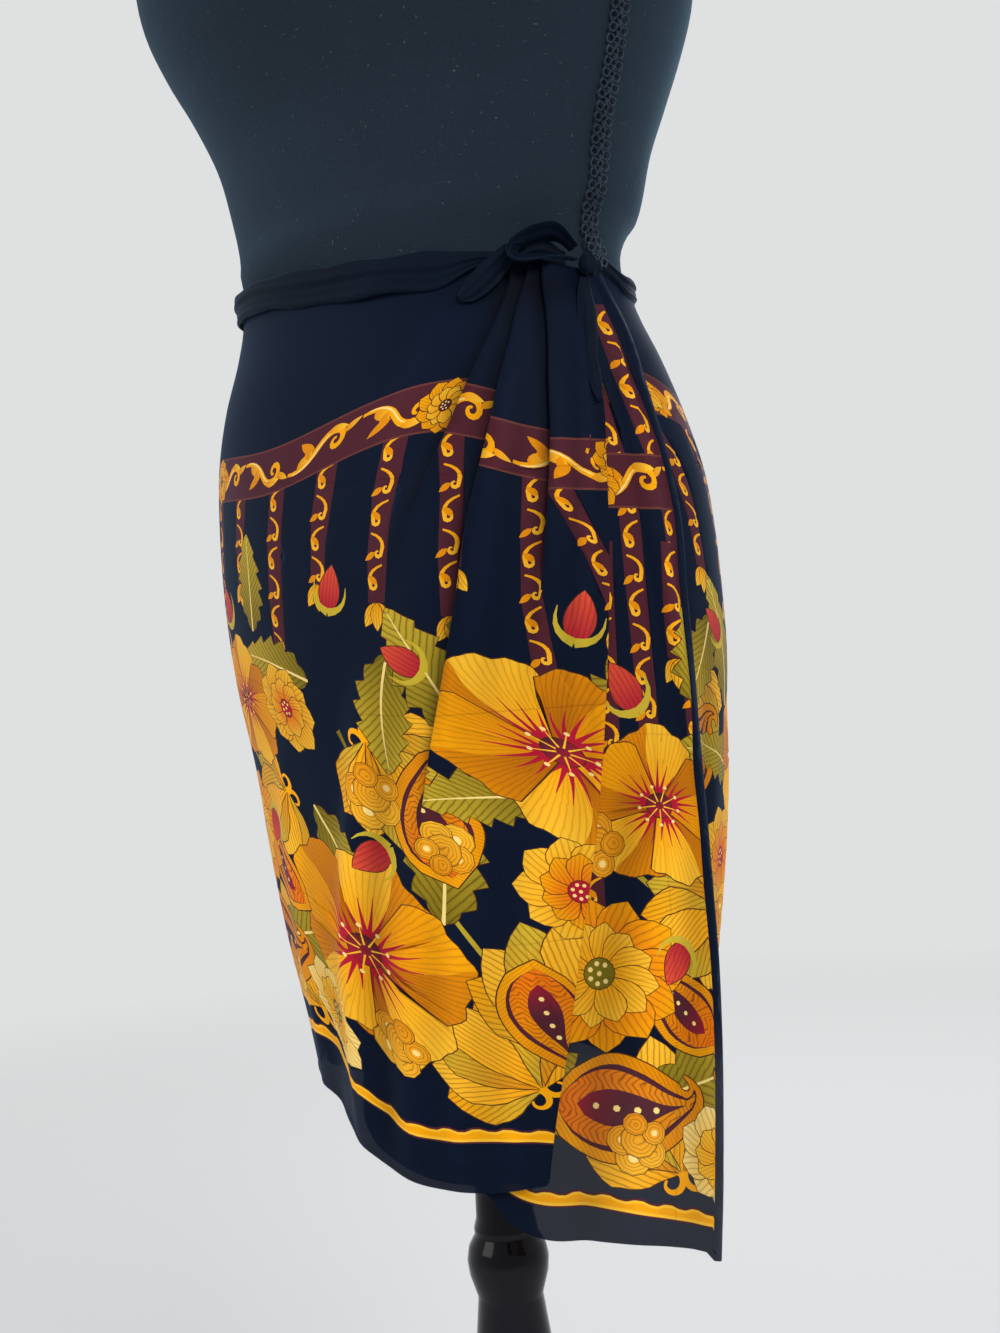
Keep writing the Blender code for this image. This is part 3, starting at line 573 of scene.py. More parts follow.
# --------------------------------------------------------------------------------------------------- print
# The silk is screen-printed on a blue-black ground. The pattern is drawn here as flat shapes, in metres on the
# cloth: a swagged band of gold scrolls, pendants, leaves, large and small flowers, paisleys and a scalloped edge.
# Each shape has a colour that runs over it, and ribs, which the cloth's material turns into fine lines.
TILE = 0.36                           # width of one repeat
CLOTH_DEPTH = 0.50                    # from the top edge to the hem
GROUND = srgb(9, 20, 40)
GOLD = srgb(244, 168, 8)
PALE_GOLD = srgb(250, 194, 52)
OCHRE = srgb(226, 142, 6)
DEEP_OCHRE = srgb(170, 94, 6)
ORANGE = srgb(238, 116, 14)
CREAM = srgb(250, 222, 140)
CRIMSON = srgb(176, 26, 52)
MAROON = srgb(78, 34, 46)
OLIVE = srgb(122, 110, 22)
PALE_OLIVE = srgb(200, 176, 52)
GREY_GREEN = srgb(94, 108, 92)
LINE = srgb(72, 42, 24)
BAND_EDGE = srgb(104, 56, 52)
ROSE = srgb(226, 84, 60)


def rotation(degrees):
    c, s = math.cos(math.radians(degrees)), math.sin(math.radians(degrees))
    return np.array([[c, s], [-s, c]])


def disc(step):
    """Outline of a disc of radius one, with a corner every so many degrees."""
    ring = np.radians(np.arange(0, 360, step))
    return np.column_stack([np.cos(ring), np.sin(ring)])


def between(x, low, high):
    """Outline of a band along the cloth, from depth low to depth high at each x."""
    return np.vstack([np.column_stack([x, low]), np.column_stack([x, high])[::-1]])


class Drawing:
    """Shapes laid one over another on the cloth; each keeps the move that put it there."""

    def __init__(self):
        self.shapes = []
        self.move = (np.eye(2), np.zeros(2))

    def at(self, x, y, turn=0.0, size=1.0, mirror=False):
        """Puts what is drawn next at a place on the cloth."""
        matrix = rotation(turn) * size
        if mirror:
            matrix = np.array([[-1, 0], [0, 1]]) @ matrix
        self.move = (matrix, np.array([x, y]))
        return self

    def turned(self, base, degrees, foot=(0.0, 0.0)):
        """Turns what is drawn next about a foot within the move base."""
        self.move = (rotation(degrees) @ base[0], np.array(foot) @ base[0] + base[1])

    def repeat(self, tile, x, y):
        """Lays another drawing's shapes here, shifted by x and y."""
        for points, (matrix, offset), paint in tile.shapes:
            self.shapes.append((points, (matrix, offset + (x, y)), paint))

    def fill(self, points, first, second=None, run=((0, 0), (0, 1)), ribs=None, depth=0.0):
        """A shape whose colour goes from first to second along run.

        ribs(x, y) counts the lines across it, and depth is how dark they are."""
        points = np.asarray(points, float)
        start, way = np.array(run[0], float), np.array(run[1], float) - np.array(run[0], float)

        def paint(spots):
            share = np.clip((spots - start) @ way / (way @ way), 0, 1)[:, None]
            colour = np.array(first) * (1 - share) + np.array(second or first) * share
            lines = ribs(spots[:, 0], spots[:, 1]) if ribs else np.zeros(len(spots))
            return colour, lines, np.full(len(spots), depth)
        self.shapes.append((points, self.move, paint))

    def edged(self, points, border, *colours, line=LINE, **options):
        """The same with a darker line round it."""
        points = np.asarray(points, float)
        ahead, behind = np.roll(points, -1, axis=0), np.roll(points, 1, axis=0)
        way = ahead - behind
        side = np.column_stack([way[:, 1], -way[:, 0]]) / (np.hypot(*way.T)[:, None] + 1e-9)
        area = np.sum(points[:, 0] * ahead[:, 1] - points[:, 1] * ahead[:, 0])
        size = math.sqrt(abs(np.linalg.det(self.move[0])))
        self.fill(points + side * math.copysign(border / size, area), line)
        self.fill(points, *colours, **options)


def blade(length, width, teeth=0, bite=0.0, bend=0.0, fullness=0.85, count=11):
    """Outline of a leaf or petal that grows along y from the origin."""
    k = np.linspace(0, 1, count)
    half = width / 2 * np.sin(math.pi * k ** fullness) ** 0.85
    if teeth:
        half = half * (1 - bite * np.mod(teeth * k, 1.0)) + bite * 0.1 * width * k
        half[-1] = 0
    y = k * length
    lean = bend * k ** 2
    return np.vstack([np.column_stack([-half + lean, y]), np.column_stack([half + lean, y])[-2:0:-1]])


def stroke(path, widths):
    """Outline of a brush stroke along a path, as wide at each point as widths says."""
    path = np.asarray(path, float)
    widths = np.interp(np.linspace(0, 1, len(path)), np.linspace(0, 1, len(widths)), widths)
    way = np.gradient(path, axis=0)
    side = np.column_stack([-way[:, 1], way[:, 0]]) / (np.hypot(*way.T)[:, None] + 1e-12)
    left, right = path + side * widths[:, None] / 2, path - side * widths[:, None] / 2
    return np.vstack([left, right[::-1]])


def bow(start, middle, end, count=9):
    """Points on a curve that leaves start towards middle and arrives at end."""
    t = np.linspace(0, 1, count)[:, None]
    return (1 - t) ** 2 * np.array(start) + 2 * t * (1 - t) * np.array(middle) + t ** 2 * np.array(end)


def spiral(centre, radius, turn, sweep, count=14, tight=0.25):
    """A curl that starts at the angle turn and winds in to a share of its radius."""
    t = np.linspace(0, 1, count)
    r = radius * (1 - (1 - tight) * t)
    a = np.radians(turn + sweep * t)
    return np.column_stack([centre[0] + r * np.cos(a), centre[1] + r * np.sin(a)])


def blossom(draw, radius=0.052):
    """Large open flower: five crinkled petals, feathered with crimson from a dark heart, and a tuft of stamens."""
    base = draw.move
    across = np.linspace(-1, 1, 25)
    for k in (0, 2, 4, 1, 3):
        draw.turned(base, 72 * k + 7 * math.sin(2.3 * k))
        reach = radius * (1.0 + 0.07 * math.sin(3.1 * k))
        rim = reach * (1 - 0.20 * across ** 2 + 0.030 * np.sin(8 * across + k) + 0.014 * np.sin(19 * across))
        lean = np.radians(43 * across)
        petal = np.vstack([[(-0.07 * reach, 0.05 * reach)],
                           np.column_stack([rim * np.sin(lean), rim * np.cos(lean)]),
                           [(0.07 * reach, 0.05 * reach)]])
        draw.edged(petal, 0.0006, *((OCHRE, GOLD) if k % 2 else (GOLD, PALE_GOLD)),
                   run=((0, 0.15 * reach), (0, reach)), ribs=lambda x, y: np.arctan2(x, y) * 13, depth=0.30)
        inner_line = bow((0, 0.1 * reach), (0.16 * reach, 0.5 * reach), (0.05 * reach, 0.96 * reach), 7)
        draw.fill(np.vstack([petal[across.size // 2 + 2:], inner_line]), DEEP_OCHRE, OCHRE,
                  run=((0, 0), (0.02, reach)), ribs=lambda x, y: np.arctan2(x, y) * 17, depth=0.35)
        for side in (-30, -17, -5, 8, 20, 32):
            a = math.radians(side)
            tip = np.array((math.sin(a * 1.15), math.cos(a * 1.15))) * reach * (0.62 - 0.006 * abs(side))
            root = (0.02 * math.sin(a) * reach, 0.12 * reach)
            feather = bow(root, tip * 0.5 + (0.001 * math.sin(side), 0), tip, 6)
            draw.fill(stroke(feather, (0.0032, 0.0016, 0.0003)), CRIMSON)
    draw.move = base
    draw.edged(disc(24) * radius * 0.15, 0.0006, MAROON, CRIMSON, run=((-0.005, -0.005), (0.006, 0.006)))
    for k in range(9):
        way = np.array((math.cos(k * 0.7 + 0.2), math.sin(k * 0.7 + 0.2)))
        draw.fill(stroke([way * radius * 0.05, way * radius * 0.22], (0.0009, 0.0004)), PALE_GOLD)
        draw.fill(disc(48) * radius * 0.022 + way * radius * 0.24, CREAM)


def rosette(draw, radius, petals, outer, inner, heart, rows=2):
    """Flower seen from above, in rows of ribbed petals round a beaded heart."""
    base = draw.move
    for row in range(rows):
        length = radius * (1.0, 0.66)[row]
        width = 2.3 * length * math.sin(math.pi / petals)
        for k in range(petals):
            draw.turned(base, 360 / petals * (k + 0.5 * row))
            uneven = 1 + 0.06 * math.sin(5 * k + row)
            petal = blade(length * uneven, width, bend=0.06 * length, fullness=1.5, count=9)
            draw.edged(petal, 0.00045, *(outer, inner)[row], run=((0, 0.2 * length), (0, length)),
                       ribs=lambda x, y, w=width: x / w * 7, depth=0.45)
    draw.move = base
    draw.edged(disc(30) * radius * 0.20, 0.0005, *heart)
    for k in range(7):
        spot = np.array((math.cos(k * 0.9), math.sin(k * 0.9))) * radius * 0.13 * (k > 0)
        draw.fill(disc(60) * radius * 0.035 + spot, CREAM)


def toothed_leaf(draw, length=0.07, width=0.036):
    """Narrow leaf with a saw edge and a pale midrib."""
    draw.edged(blade(length, width, 6, 0.45, 0.008, 0.8, 25), 0.0005, OLIVE, PALE_OLIVE,
               run=((0, 0), (0.01, length)),
               ribs=lambda x, y: (y - np.abs(x - 0.008 * (y / length) ** 2) * 1.3) / 0.0052, depth=0.7)
    draw.fill(stroke(bow((0, 0), (0, length * 0.5), (0.008, length * 0.96)), (0.0018, 0.0005)), CREAM, PALE_OLIVE)


def palmette(draw, radius=0.046, colours=((GOLD, PALE_GOLD), (PALE_OLIVE, GOLD), (OCHRE, PALE_OLIVE))):
    """Spray of ribbed lobes that spread from one foot, each lapping the next."""
    base = draw.move
    for k, turn in enumerate((-72, 72, -48, 48, -24, 24, 0)):
        draw.turned(base, turn)
        length = radius * (1.05 - 0.0035 * abs(turn))
        draw.edged(blade(length, radius * 0.46, 3, 0.12, 0.0001 * turn, 1.5, 13), 0.0006, *colours[k % 3],
                   run=((0, 0), (0, length)), ribs=lambda x, y: x / 0.0021 + 6 * y / radius, depth=0.6)
    draw.move = base
    for side, turn in ((1, 150), (-1, 30)):
        curl = spiral((side * 0.0055, -0.002), 0.0055, turn, side * 250)
        draw.fill(stroke(curl, (0.0030, 0.0008)), GOLD, CREAM)


def paisley(draw):
    """Curved drop in four bands, the orange one scaled like a cone, with a row of beads."""
    spine = np.vstack([bow((0.0, 0.0), (0.0, 0.034), (0.012, 0.052), 16),
                       bow((0.0135, 0.054), (0.021, 0.058), (0.0225, 0.049), 7)])
    body = np.array((0.0, 0.024, 0.034, 0.040, 0.041, 0.038, 0.033, 0.026, 0.018, 0.011, 0.006, 0.003, 0.001))
    draw.edged(stroke(spine, body), 0.0007, GOLD, OCHRE, run=((-0.02, 0), (0.02, 0.04)),
               ribs=lambda x, y: (x + y) / 0.0022, depth=0.35)
    draw.fill(stroke(spine[1:-3], body * 0.80), MAROON)
    draw.fill(stroke(spine[1:-4], body * 0.70), ORANGE, OCHRE, run=((0, 0), (0, 0.045)),
              ribs=lambda x, y: np.sin(x / 0.0017) * 0.9 + y / 0.0026, depth=0.75)
    draw.fill(stroke(spine[3:-7], body * 0.34), CRIMSON, MAROON, run=((0, 0), (0, 0.03)))
    for k in range(4):
        draw.fill(disc(60) * 0.0013 + spine[5 + 2 * k], CREAM)


def bud(draw, length=0.024):
    """Closed flower bud with two turned-back sepals."""
    draw.edged(blade(length, length * 0.55, fullness=0.8), 0.0005, CRIMSON, ROSE, run=((0, 0), (0, length)),
               ribs=lambda x, y: x / 0.0022, depth=0.5)
    for out in (-1, 1):
        draw.fill(stroke(bow((0, 0), (out * length * 0.5, length * 0.1), (out * length * 0.42, length * 0.6), 6),
                         (length * 0.18, length * 0.1, 0.0003)), PALE_OLIVE, OLIVE)


def pod(draw, length=0.030):
    """Cluster of round gold lobes set with pale beads."""
    for k, (x, y, r) in enumerate(((0, 0.3, 0.30), (-0.24, 0.5, 0.26), (0.26, 0.52, 0.26), (0.02, 0.62, 0.30),
                                   (-0.16, 0.84, 0.20), (0.18, 0.86, 0.19))):
        circle = disc(36) * r * length + np.array((x, y)) * length
        draw.edged(circle, 0.0004, PALE_GOLD, OCHRE, run=((-0.01, 0), (0.012, length)),
                   ribs=lambda u, v, a=x, b=y: np.hypot(u - a * length, v - b * length) / 0.0018, depth=0.55)
        if k % 2 == 0:
            draw.fill(circle * 0.28 + np.array((x, y)) * length * 0.72, CREAM)


VINE_PITCH = 0.017


def pendant(draw, length):
    """Narrow maroon ribbon with a gold vine and a bell at its foot."""
    draw.fill([(-0.0068, 0.0), (0.0068, 0.0), (0.0052, length), (-0.0052, length)], MAROON)
    for k in range(int(length / VINE_PITCH)):
        y = 0.006 + k * VINE_PITCH
        out = 1 if k % 2 else -1
        curl = np.vstack([bow((-out * 0.004, y - 0.002), (out * 0.006, y + 0.001), (out * 0.0035, y + 0.008), 6),
                          spiral((out * 0.0012, y + 0.0085), 0.0026, 0 if out > 0 else 180, out * 300, 9)[1:]])
        draw.fill(stroke(curl, (0.0010, 0.0024, 0.0018, 0.0006)), GOLD, PALE_GOLD,
                  run=((0, y), (0, y + VINE_PITCH)))
        leaflet = blade(0.0075, 0.0034, count=5) @ np.array([[0.6 * out, 0.8], [-0.8, 0.6 * out]])
        draw.fill(leaflet + (-out * 0.001, y + 0.008), OCHRE)
    base = draw.move
    for turn in (-32, 32, 0):
        draw.turned(base, turn, (0.0, length))
        draw.edged(blade(0.015, 0.0075), 0.0004, GOLD, PALE_GOLD, run=((0, 0), (0, 0.015)),
                   ribs=lambda x, y: x / 0.0018, depth=0.6)
    draw.move = base


def swag(x):
    """Depth on the cloth of the middle of the swagged band."""
    turn = 2 * math.pi * np.asarray(x) / TILE
    return 0.098 - 0.018 * np.cos(turn) - 0.004 * np.cos(2 * turn)


def scroll(draw, x0, out):
    """One scroll of the swagged band: a curling gold stem with leaves, bent to the band's line."""
    def bent(points):
        points = np.asarray(points)
        return np.column_stack([points[:, 0] + x0, points[:, 1] * out * 1.15 + swag(points[:, 0] + x0)])

    stem = np.vstack([bow((0.0, -0.006), (0.012, -0.008), (0.020, 0.0005), 8),
                      bow((0.0225, 0.003), (0.028, 0.008), (0.034, 0.0045), 6),
                      spiral((0.0315, 0.0005), 0.0045, 50, -330, 12)[1:]])
    draw.fill(bent(stroke(stem, (0.0016, 0.0034, 0.0036, 0.0026, 0.0010))), GOLD)
    draw.fill(bent(stroke(stem[1:13] + (0.0, -0.0006), (0.0004, 0.0010, 0.0008, 0.0003))), CREAM)
    for x, y, turn, length in ((0.007, -0.006, -35, 0.013), (0.015, -0.003, 28, 0.010), (0.018, 0.001, 70, 0.013),
                               (0.025, 0.006, -80, 0.012), (0.036, 0.002, -40, 0.010)):
        leaf = blade(length, length * 0.42, bend=0.25 * length, count=7) @ rotation(turn) * (1, 0.8) + (x, y)
        leaf[:, 1] = np.clip(leaf[:, 1], -0.0100, 0.0100)
        draw.fill(bent(leaf), OCHRE, PALE_GOLD, run=((x0 + x, 0.0), (x0 + x + 0.01, 0.0)))


# One repeat of everything between the top band and the border: ribbons (place along, length), stems (from, by way
# of, to), then motifs in the order in which they lap (place, turn, size, mirrored) and plain rosettes.
RIBBONS = ((0.022, 0.100), (0.062, 0.062), (0.101, 0.122), (0.142, 0.078), (0.180, 0.110), (0.221, 0.058),
           (0.262, 0.118), (0.300, 0.070), (0.340, 0.092))
STEMS = (((0.02, 0.19), (0.05, 0.24), (0.13, 0.25)), ((0.13, 0.25), (0.18, 0.26), (0.235, 0.345)),
         ((0.235, 0.345), (0.27, 0.40), (0.345, 0.405)), ((0.30, 0.25), (0.34, 0.32), (0.37, 0.42)))
LOWER_MOTIFS = (
    (palmette, ((0.024, 0.424, 195, 1.65, True), (0.208, 0.440, 165, 1.50), (0.322, 0.252, -28, 1.35),
                (0.112, 0.300, 118, 1.25), (0.352, 0.446, 150, 1.30, True), (0.238, 0.300, 60, 1.10, True))),
    (toothed_leaf, ((0.165, 0.218, 60, 1.15), (0.020, 0.250, 160, 1.1), (0.262, 0.300, -40, 1.05),
                    (0.338, 0.350, 200, 1.2), (0.186, 0.405, 250, 1.15), (0.118, 0.442, 95, 0.85),
                    (0.284, 0.225, 100, 0.95), (0.345, 0.205, 20, 0.95), (0.052, 0.286, 100, 0.9),
                    (0.130, 0.360, -10, 1.0), (0.232, 0.205, 185, 0.85))),
    (blossom, ((0.078, 0.262, 24, 1.08), (0.284, 0.372, -12, 1.16, True), (0.204, 0.252, 40, 0.78))),
    (paisley, ((0.134, 0.402, -75, 1.40), (0.352, 0.330, 170, 1.20, True), (0.016, 0.372, 15, 1.10),
               (0.232, 0.372, 120, 0.95, True))))
ROSETTES = ((0.166, 0.338, 0.042, 12, (ORANGE, GOLD), (GOLD, PALE_GOLD), (OLIVE, GREY_GREEN)),
            (0.050, 0.338, 0.031, 10, (GOLD, PALE_GOLD), (ORANGE, GOLD), (CRIMSON, MAROON)),
            (0.258, 0.246, 0.025, 9, (OCHRE, PALE_GOLD), (ORANGE, PALE_GOLD), (CRIMSON, MAROON)),
            (0.232, 0.428, 0.026, 9, (PALE_GOLD, CREAM), (GOLD, PALE_GOLD), (OLIVE, OLIVE)),
            (0.078, 0.428, 0.028, 11, (ORANGE, PALE_GOLD), (OCHRE, GOLD), (MAROON, CRIMSON)))
UPPER_MOTIFS = (
    (bud, ((0.118, 0.205, 200, 1.2), (0.196, 0.205, 150, 1.2), (0.306, 0.184, 190, 1.1), (0.004, 0.215, 120, 1.1),
           (0.140, 0.300, 80, 1.1), (0.212, 0.320, 30, 1.1), (0.318, 0.310, 60, 1.2), (0.090, 0.375, 20, 1.1))),
    (pod, ((0.150, 0.262, -60, 1.15), (0.306, 0.300, 210, 1.15), (0.095, 0.375, 100, 1.15),
           (0.268, 0.428, -110, 1.1), (0.178, 0.442, 200, 1.0), (0.006, 0.300, 60, 1.0))))


def draw_tile(draw):
    for x, length in RIBBONS:
        pendant(draw.at(x, float(swag(x)) + 0.008), length)
    for root, way, tip in STEMS:
        draw.at(0, 0).fill(stroke(bow(root, way, tip, 16), (0.0034, 0.0024, 0.0032)), OLIVE, PALE_OLIVE,
                           run=(root, tip))
    for motif, places in LOWER_MOTIFS:
        for where in places:
            motif(draw.at(*where))
    for x, y, *kind in ROSETTES:
        rosette(draw.at(x, y), *kind)
    for motif, places in UPPER_MOTIFS:
        for where in places:
            motif(draw.at(*where))


SCALLOP = 0.016                       # from one scallop of the border to the next


def border_line(x):
    """Depth of the lower edge of the scalloped border, which dips and rises along the cloth."""
    turn = 2 * math.pi * np.asarray(x) / TILE
    return 0.474 + 0.010 * np.sin(turn + 0.8) + 0.004 * np.sin(3 * turn)


def drawn_cloth(start, end, shift, border, drop=0.0):
    """All shapes on a length of cloth from start to end; shift slides the repeats along it, drop moves them down.

    border gives the depth at which the print ends."""
    draw, motifs, scrolls = Drawing(), Drawing(), Drawing()
    draw_tile(motifs)
    for i in range(8):
        scroll(scrolls, i * TILE / 8, 1 if i % 2 else -1)
    for x in (0.0, TILE / 2):
        rosette(scrolls.at(x, float(swag(x))), 0.0145, 10, (OCHRE, GOLD), (GOLD, PALE_GOLD), (MAROON, MAROON))
    repeats = range(math.floor((start + shift) / TILE), math.ceil((end + shift) / TILE))
    for k in repeats:
        draw.repeat(motifs, k * TILE - shift, drop)
    draw.at(0, 0)
    x = np.arange(start - 0.01, end + 0.01, 0.004)
    low = border(x)
    scallop = low - 0.0046 - 0.0026 * np.abs(np.sin(math.pi * (x + shift) / SCALLOP))
    draw.fill(between(x, low + 0.0010, scallop - 0.0012), MAROON)
    draw.fill(between(x, low, scallop), PALE_GOLD)
    draw.fill(between(x, low - 0.0016, scallop + 0.0014), GOLD)
    middle = swag(x + shift)
    draw.fill(between(x, middle + 0.0138, middle - 0.0138), BAND_EDGE)
    draw.fill(between(x, middle + 0.0127, middle - 0.0127), MAROON)
    for k in repeats:
        draw.repeat(scrolls, k * TILE - shift, 0.0)
    return draw.shapes


# --------------------------------------------------------------------------------------------------- cloth
# One oblong of silk georgette, with a rolled hem along its foot. It starts under the front, passes the left hip,
# the back and the right hip, crosses the front in three pleats drawn to the knot, turns under in a deep fold and
# comes out again as the free tail.

# Heights, with the angles of the three pleats, of the deep fold's edge and of the fold inside it.
FRONT_LINES = (
    (1.012, 62.0, 66.0, 70.0, 84.0, 81.0), (1.000, 59.8, 64.0, 67.5, 83.5, 79.0),
    (0.980, 55.0, 59.0, 66.0, 81.5, 73.0), (0.960, 49.0, 54.8, 63.8, 78.3, 66.0),
    (0.940, 43.5, 50.8, 61.5, 75.5, 59.0), (0.920, 38.5, 47.5, 59.8, 73.3, 53.0),
    (0.900, 33.5, 44.2, 58.0, 71.2, 48.0), (0.870, 27.0, 40.3, 55.8, 69.7, 41.0),
    (0.840, 22.0, 37.7, 53.8, 68.5, 35.0), (0.800, 17.5, 33.8, 51.0, 66.8, 28.0),
    (0.750, 13.5, 28.6, 47.5, 65.0, 20.0), (0.700, 10.0, 24.5, 44.0, 63.0, 13.0),
    (0.650, 5.0, 20.5, 40.0, 60.0, 6.0), (0.600, 0.0, 17.0, 36.5, 57.0, 0.0),
    (0.560, -4.0, 15.0, 34.5, 53.5, -5.0), (0.500, -8.0, 13.0, 32.0, 49.0, -9.0))
# Angles along each hem with its heights, and heights down the free edge with its angles.
FRONT_HEM = ((-90, 0.574), (-45, 0.574), (-25, 0.569), (-15, 0.559), (-5, 0.546), (5, 0.535), (15, 0.528),
             (25, 0.525), (35, 0.525), (45, 0.527), (60, 0.529))
TAIL_HEM = ((-15, 0.570), (-8, 0.560), (5, 0.544), (20, 0.533), (30, 0.527), (35, 0.519), (39, 0.508),
            (49, 0.497), (62, 0.496), (73, 0.495), (81, 0.491), (86, 0.486), (92, 0.481))
INNER_HEM = ((-30, 0.580), (0, 0.584), (20, 0.590), (50, 0.603), (65, 0.603), (81, 0.583), (94, 0.566),
             (110, 0.542), (122, 0.525), (160, 0.529), (174, 0.534), (193, 0.548), (230, 0.562), (270, 0.575))
FREE_EDGE = ((1.012, 90.5), (1.000, 93.5), (0.980, 96.0), (0.960, 94.8), (0.940, 92.8), (0.900, 92.0),
             (0.870, 92.8), (0.840, 91.8), (0.800, 91.0), (0.700, 91.0), (0.600, 92.3), (0.480, 89.6))
# Each pleat: its line, the rise of its edge at the top and low down, where the crisp edge ends, how many degrees
# it takes to lie flat again, and how much cloth it takes up.
PLEATS = ((1, 0.0036, 0.0012, 0.900, 11.0, 0.012), (2, 0.0042, 0.0012, 0.740, 14.0, 0.019),
          (3, 0.0048, 0.0008, 0.850, 13.0, 0.021))
PLY = 0.0018                          # rise of one ply over the one under it
INNER_EDGE = -28.0                    # where the hidden inner end starts
RIGHT_HIP = 270                       # turns past this one belong to the front, once more round
CLOTH_THICK = 0.00040
HEM_THICK = 0.0013
HEM_DEEP = 0.0030                     # from the foot of the rolled hem to its upper edge
FOLD_ROUND = 0.0005                   # radius of the cloth at a pressed fold
PLY_STEP = 0.0008                     # half the way along the cloth in which it steps up a ply
MAY_SINK = 0.0007                     # most that a crease sinks into what is under it
LEAST_PLEAT = 0.0015                  # depth below which a pleat is only a soft ridge
HIP_RADIUS = 0.13                     # turns a crease's angles into metres
CREASES_STAND = 1.4                   # height of every crease over its table's
UNDER_TURN = 0.006                    # how much of the deep fold's inner side belongs to the front
BAND = 0.0085                         # width of the black band on the tail's free edge
TROUGH_SHADE = 110                    # painted shade in the troughs of a crease, or painted highlight on its crest, for each metre of depth
TROUGH_DARKEST, CREST_LIGHTEST = -0.32, 0.22
lines = [None] + [curve(FRONT_LINES, column) for column in range(1, 6)]
deep_line, inner_line = lines[4], lines[5]
front_hem, tail_hem, inner_hem, free_edge = (curve(rows, 1)
                                             for rows in (FRONT_HEM, TAIL_HEM, INNER_HEM, FREE_EDGE))
row_y = np.linspace(0, CLOTH_DEPTH, 101)


def skirt_top(angle):
    return 1.013 - 0.011 * np.sin(np.radians(angle))


def hem_wave(angle, height):
    """The slow waves that the cloth throws towards its hem."""
    return 0.0012 * (1 + np.sin(np.radians(angle * 9 + 40))) * ease(0.80, 0.56, height)


def on_skirt(angle, height, level):
    return on_oval(angle, skirt_wide(height), skirt_deep(height), skirt_back(height), height, level)


def along_rows(y, at, keys, values):
    """Looks up at among each row's keys and gives its value there, between the rows on either side of y."""
    place = np.clip(y / row_y[1], 0, len(row_y) - 1.001)
    row = place.astype(int)
    result = np.empty(len(y))
    for r in np.unique(row):
        pick = row == r
        low, high = (np.interp(at[pick], keys[k], values[k]) for k in (r, r + 1))
        result[pick] = low + (high - low) * (place[pick] - r)
    return result


def crossing(line, height_at, guess):
    """For each row, the angle at which the row meets a line given by height."""
    angle = np.full(len(row_y), float(guess))
    for _ in range(30):
        angle = (angle + line(height_at(angle, row_y))) / 2
    return angle


def lengths(points):
    """Distance travelled along a line of points."""
    return np.concatenate([[0], np.cumsum(np.linalg.norm(np.diff(points, axis=0), axis=1))])


def share_of_way(first, second, share):
    """A table of height and angle that runs between two lines; a number is a line at that angle."""
    first = lines[first] if first in (1, 2, 3) else lambda z, angle=first: angle
    return [(z, float(first(z) + (lines[second](z) - first(z)) * share)) for z in np.linspace(0.50, 1.012, 40)]


# Creases: a table of height and angle, the rise or fall, the half width, and the heights where it fades in and
# out. Those drawn to the knot are set out by the lines on either side and a share of the way between.
FRONT_CREASES = [
    (share_of_way(first, second, share), *lie) for first, second, share, *lie in (
        (-20, 1, 0.93, -0.0007, 0.0050, 0.90, 1.000), (-40, 1, 0.86, 0.0008, 0.0080, 0.88, 1.004),
        (-60, 1, 0.80, -0.0006, 0.0070, 0.93, 1.006), (1, 2, 0.55, -0.0006, 0.0035, 0.86, 0.985),
        (2, 3, 0.30, 0.0009, 0.0045, 0.80, 0.985), (2, 3, 0.52, -0.0012, 0.0050, 0.76, 0.990),
        (2, 3, 0.78, 0.0007, 0.0040, 0.86, 0.990), (3, 4, 0.26, 0.0008, 0.0035, 0.84, 0.985),
        (3, 4, 0.46, -0.0014, 0.0042, 0.74, 0.990), (3, 4, 0.66, 0.0012, 0.0036, 0.80, 0.985),
        (3, 4, 0.84, -0.0010, 0.0032, 0.70, 0.985))]
FRONT_CREASES += [
    ([(0.54, -3.0), (0.60, -1.0), (0.66, 3.0), (0.72, 8.0), (0.80, 15.0)], 0.0024, 0.0075, 0.52, 0.82),
    ([(0.54, 6.0), (0.60, 8.0), (0.66, 11.0), (0.72, 16.0), (0.80, 23.0)], -0.0020, 0.0060, 0.52, 0.80),
    ([(0.54, 15.0), (0.60, 17.0), (0.66, 20.5), (0.72, 25.5), (0.80, 32.0)], 0.0018, 0.0085, 0.52, 0.80),
    ([(0.54, -26.0), (0.62, -22.0), (0.70, -17.0), (0.80, -12.0)], 0.0022, 0.0100, 0.50, 0.78),
    ([(0.54, 27.0), (0.62, 30.0), (0.70, 35.0), (0.80, 41.0)], 0.0016, 0.0080, 0.50, 0.76),
    ([(0.54, 42.0), (0.62, 46.0), (0.70, 52.0), (0.80, 57.0)], 0.0014, 0.0080, 0.50, 0.78),
    ([(0.54, -58.0), (0.66, -54.0), (0.80, -50.0)], 0.0020, 0.0110, 0.50, 0.78),
    ([(0.54, -80.0), (0.66, -79.0), (0.80, -76.0)], 0.0016, 0.0140, 0.50, 0.80)]
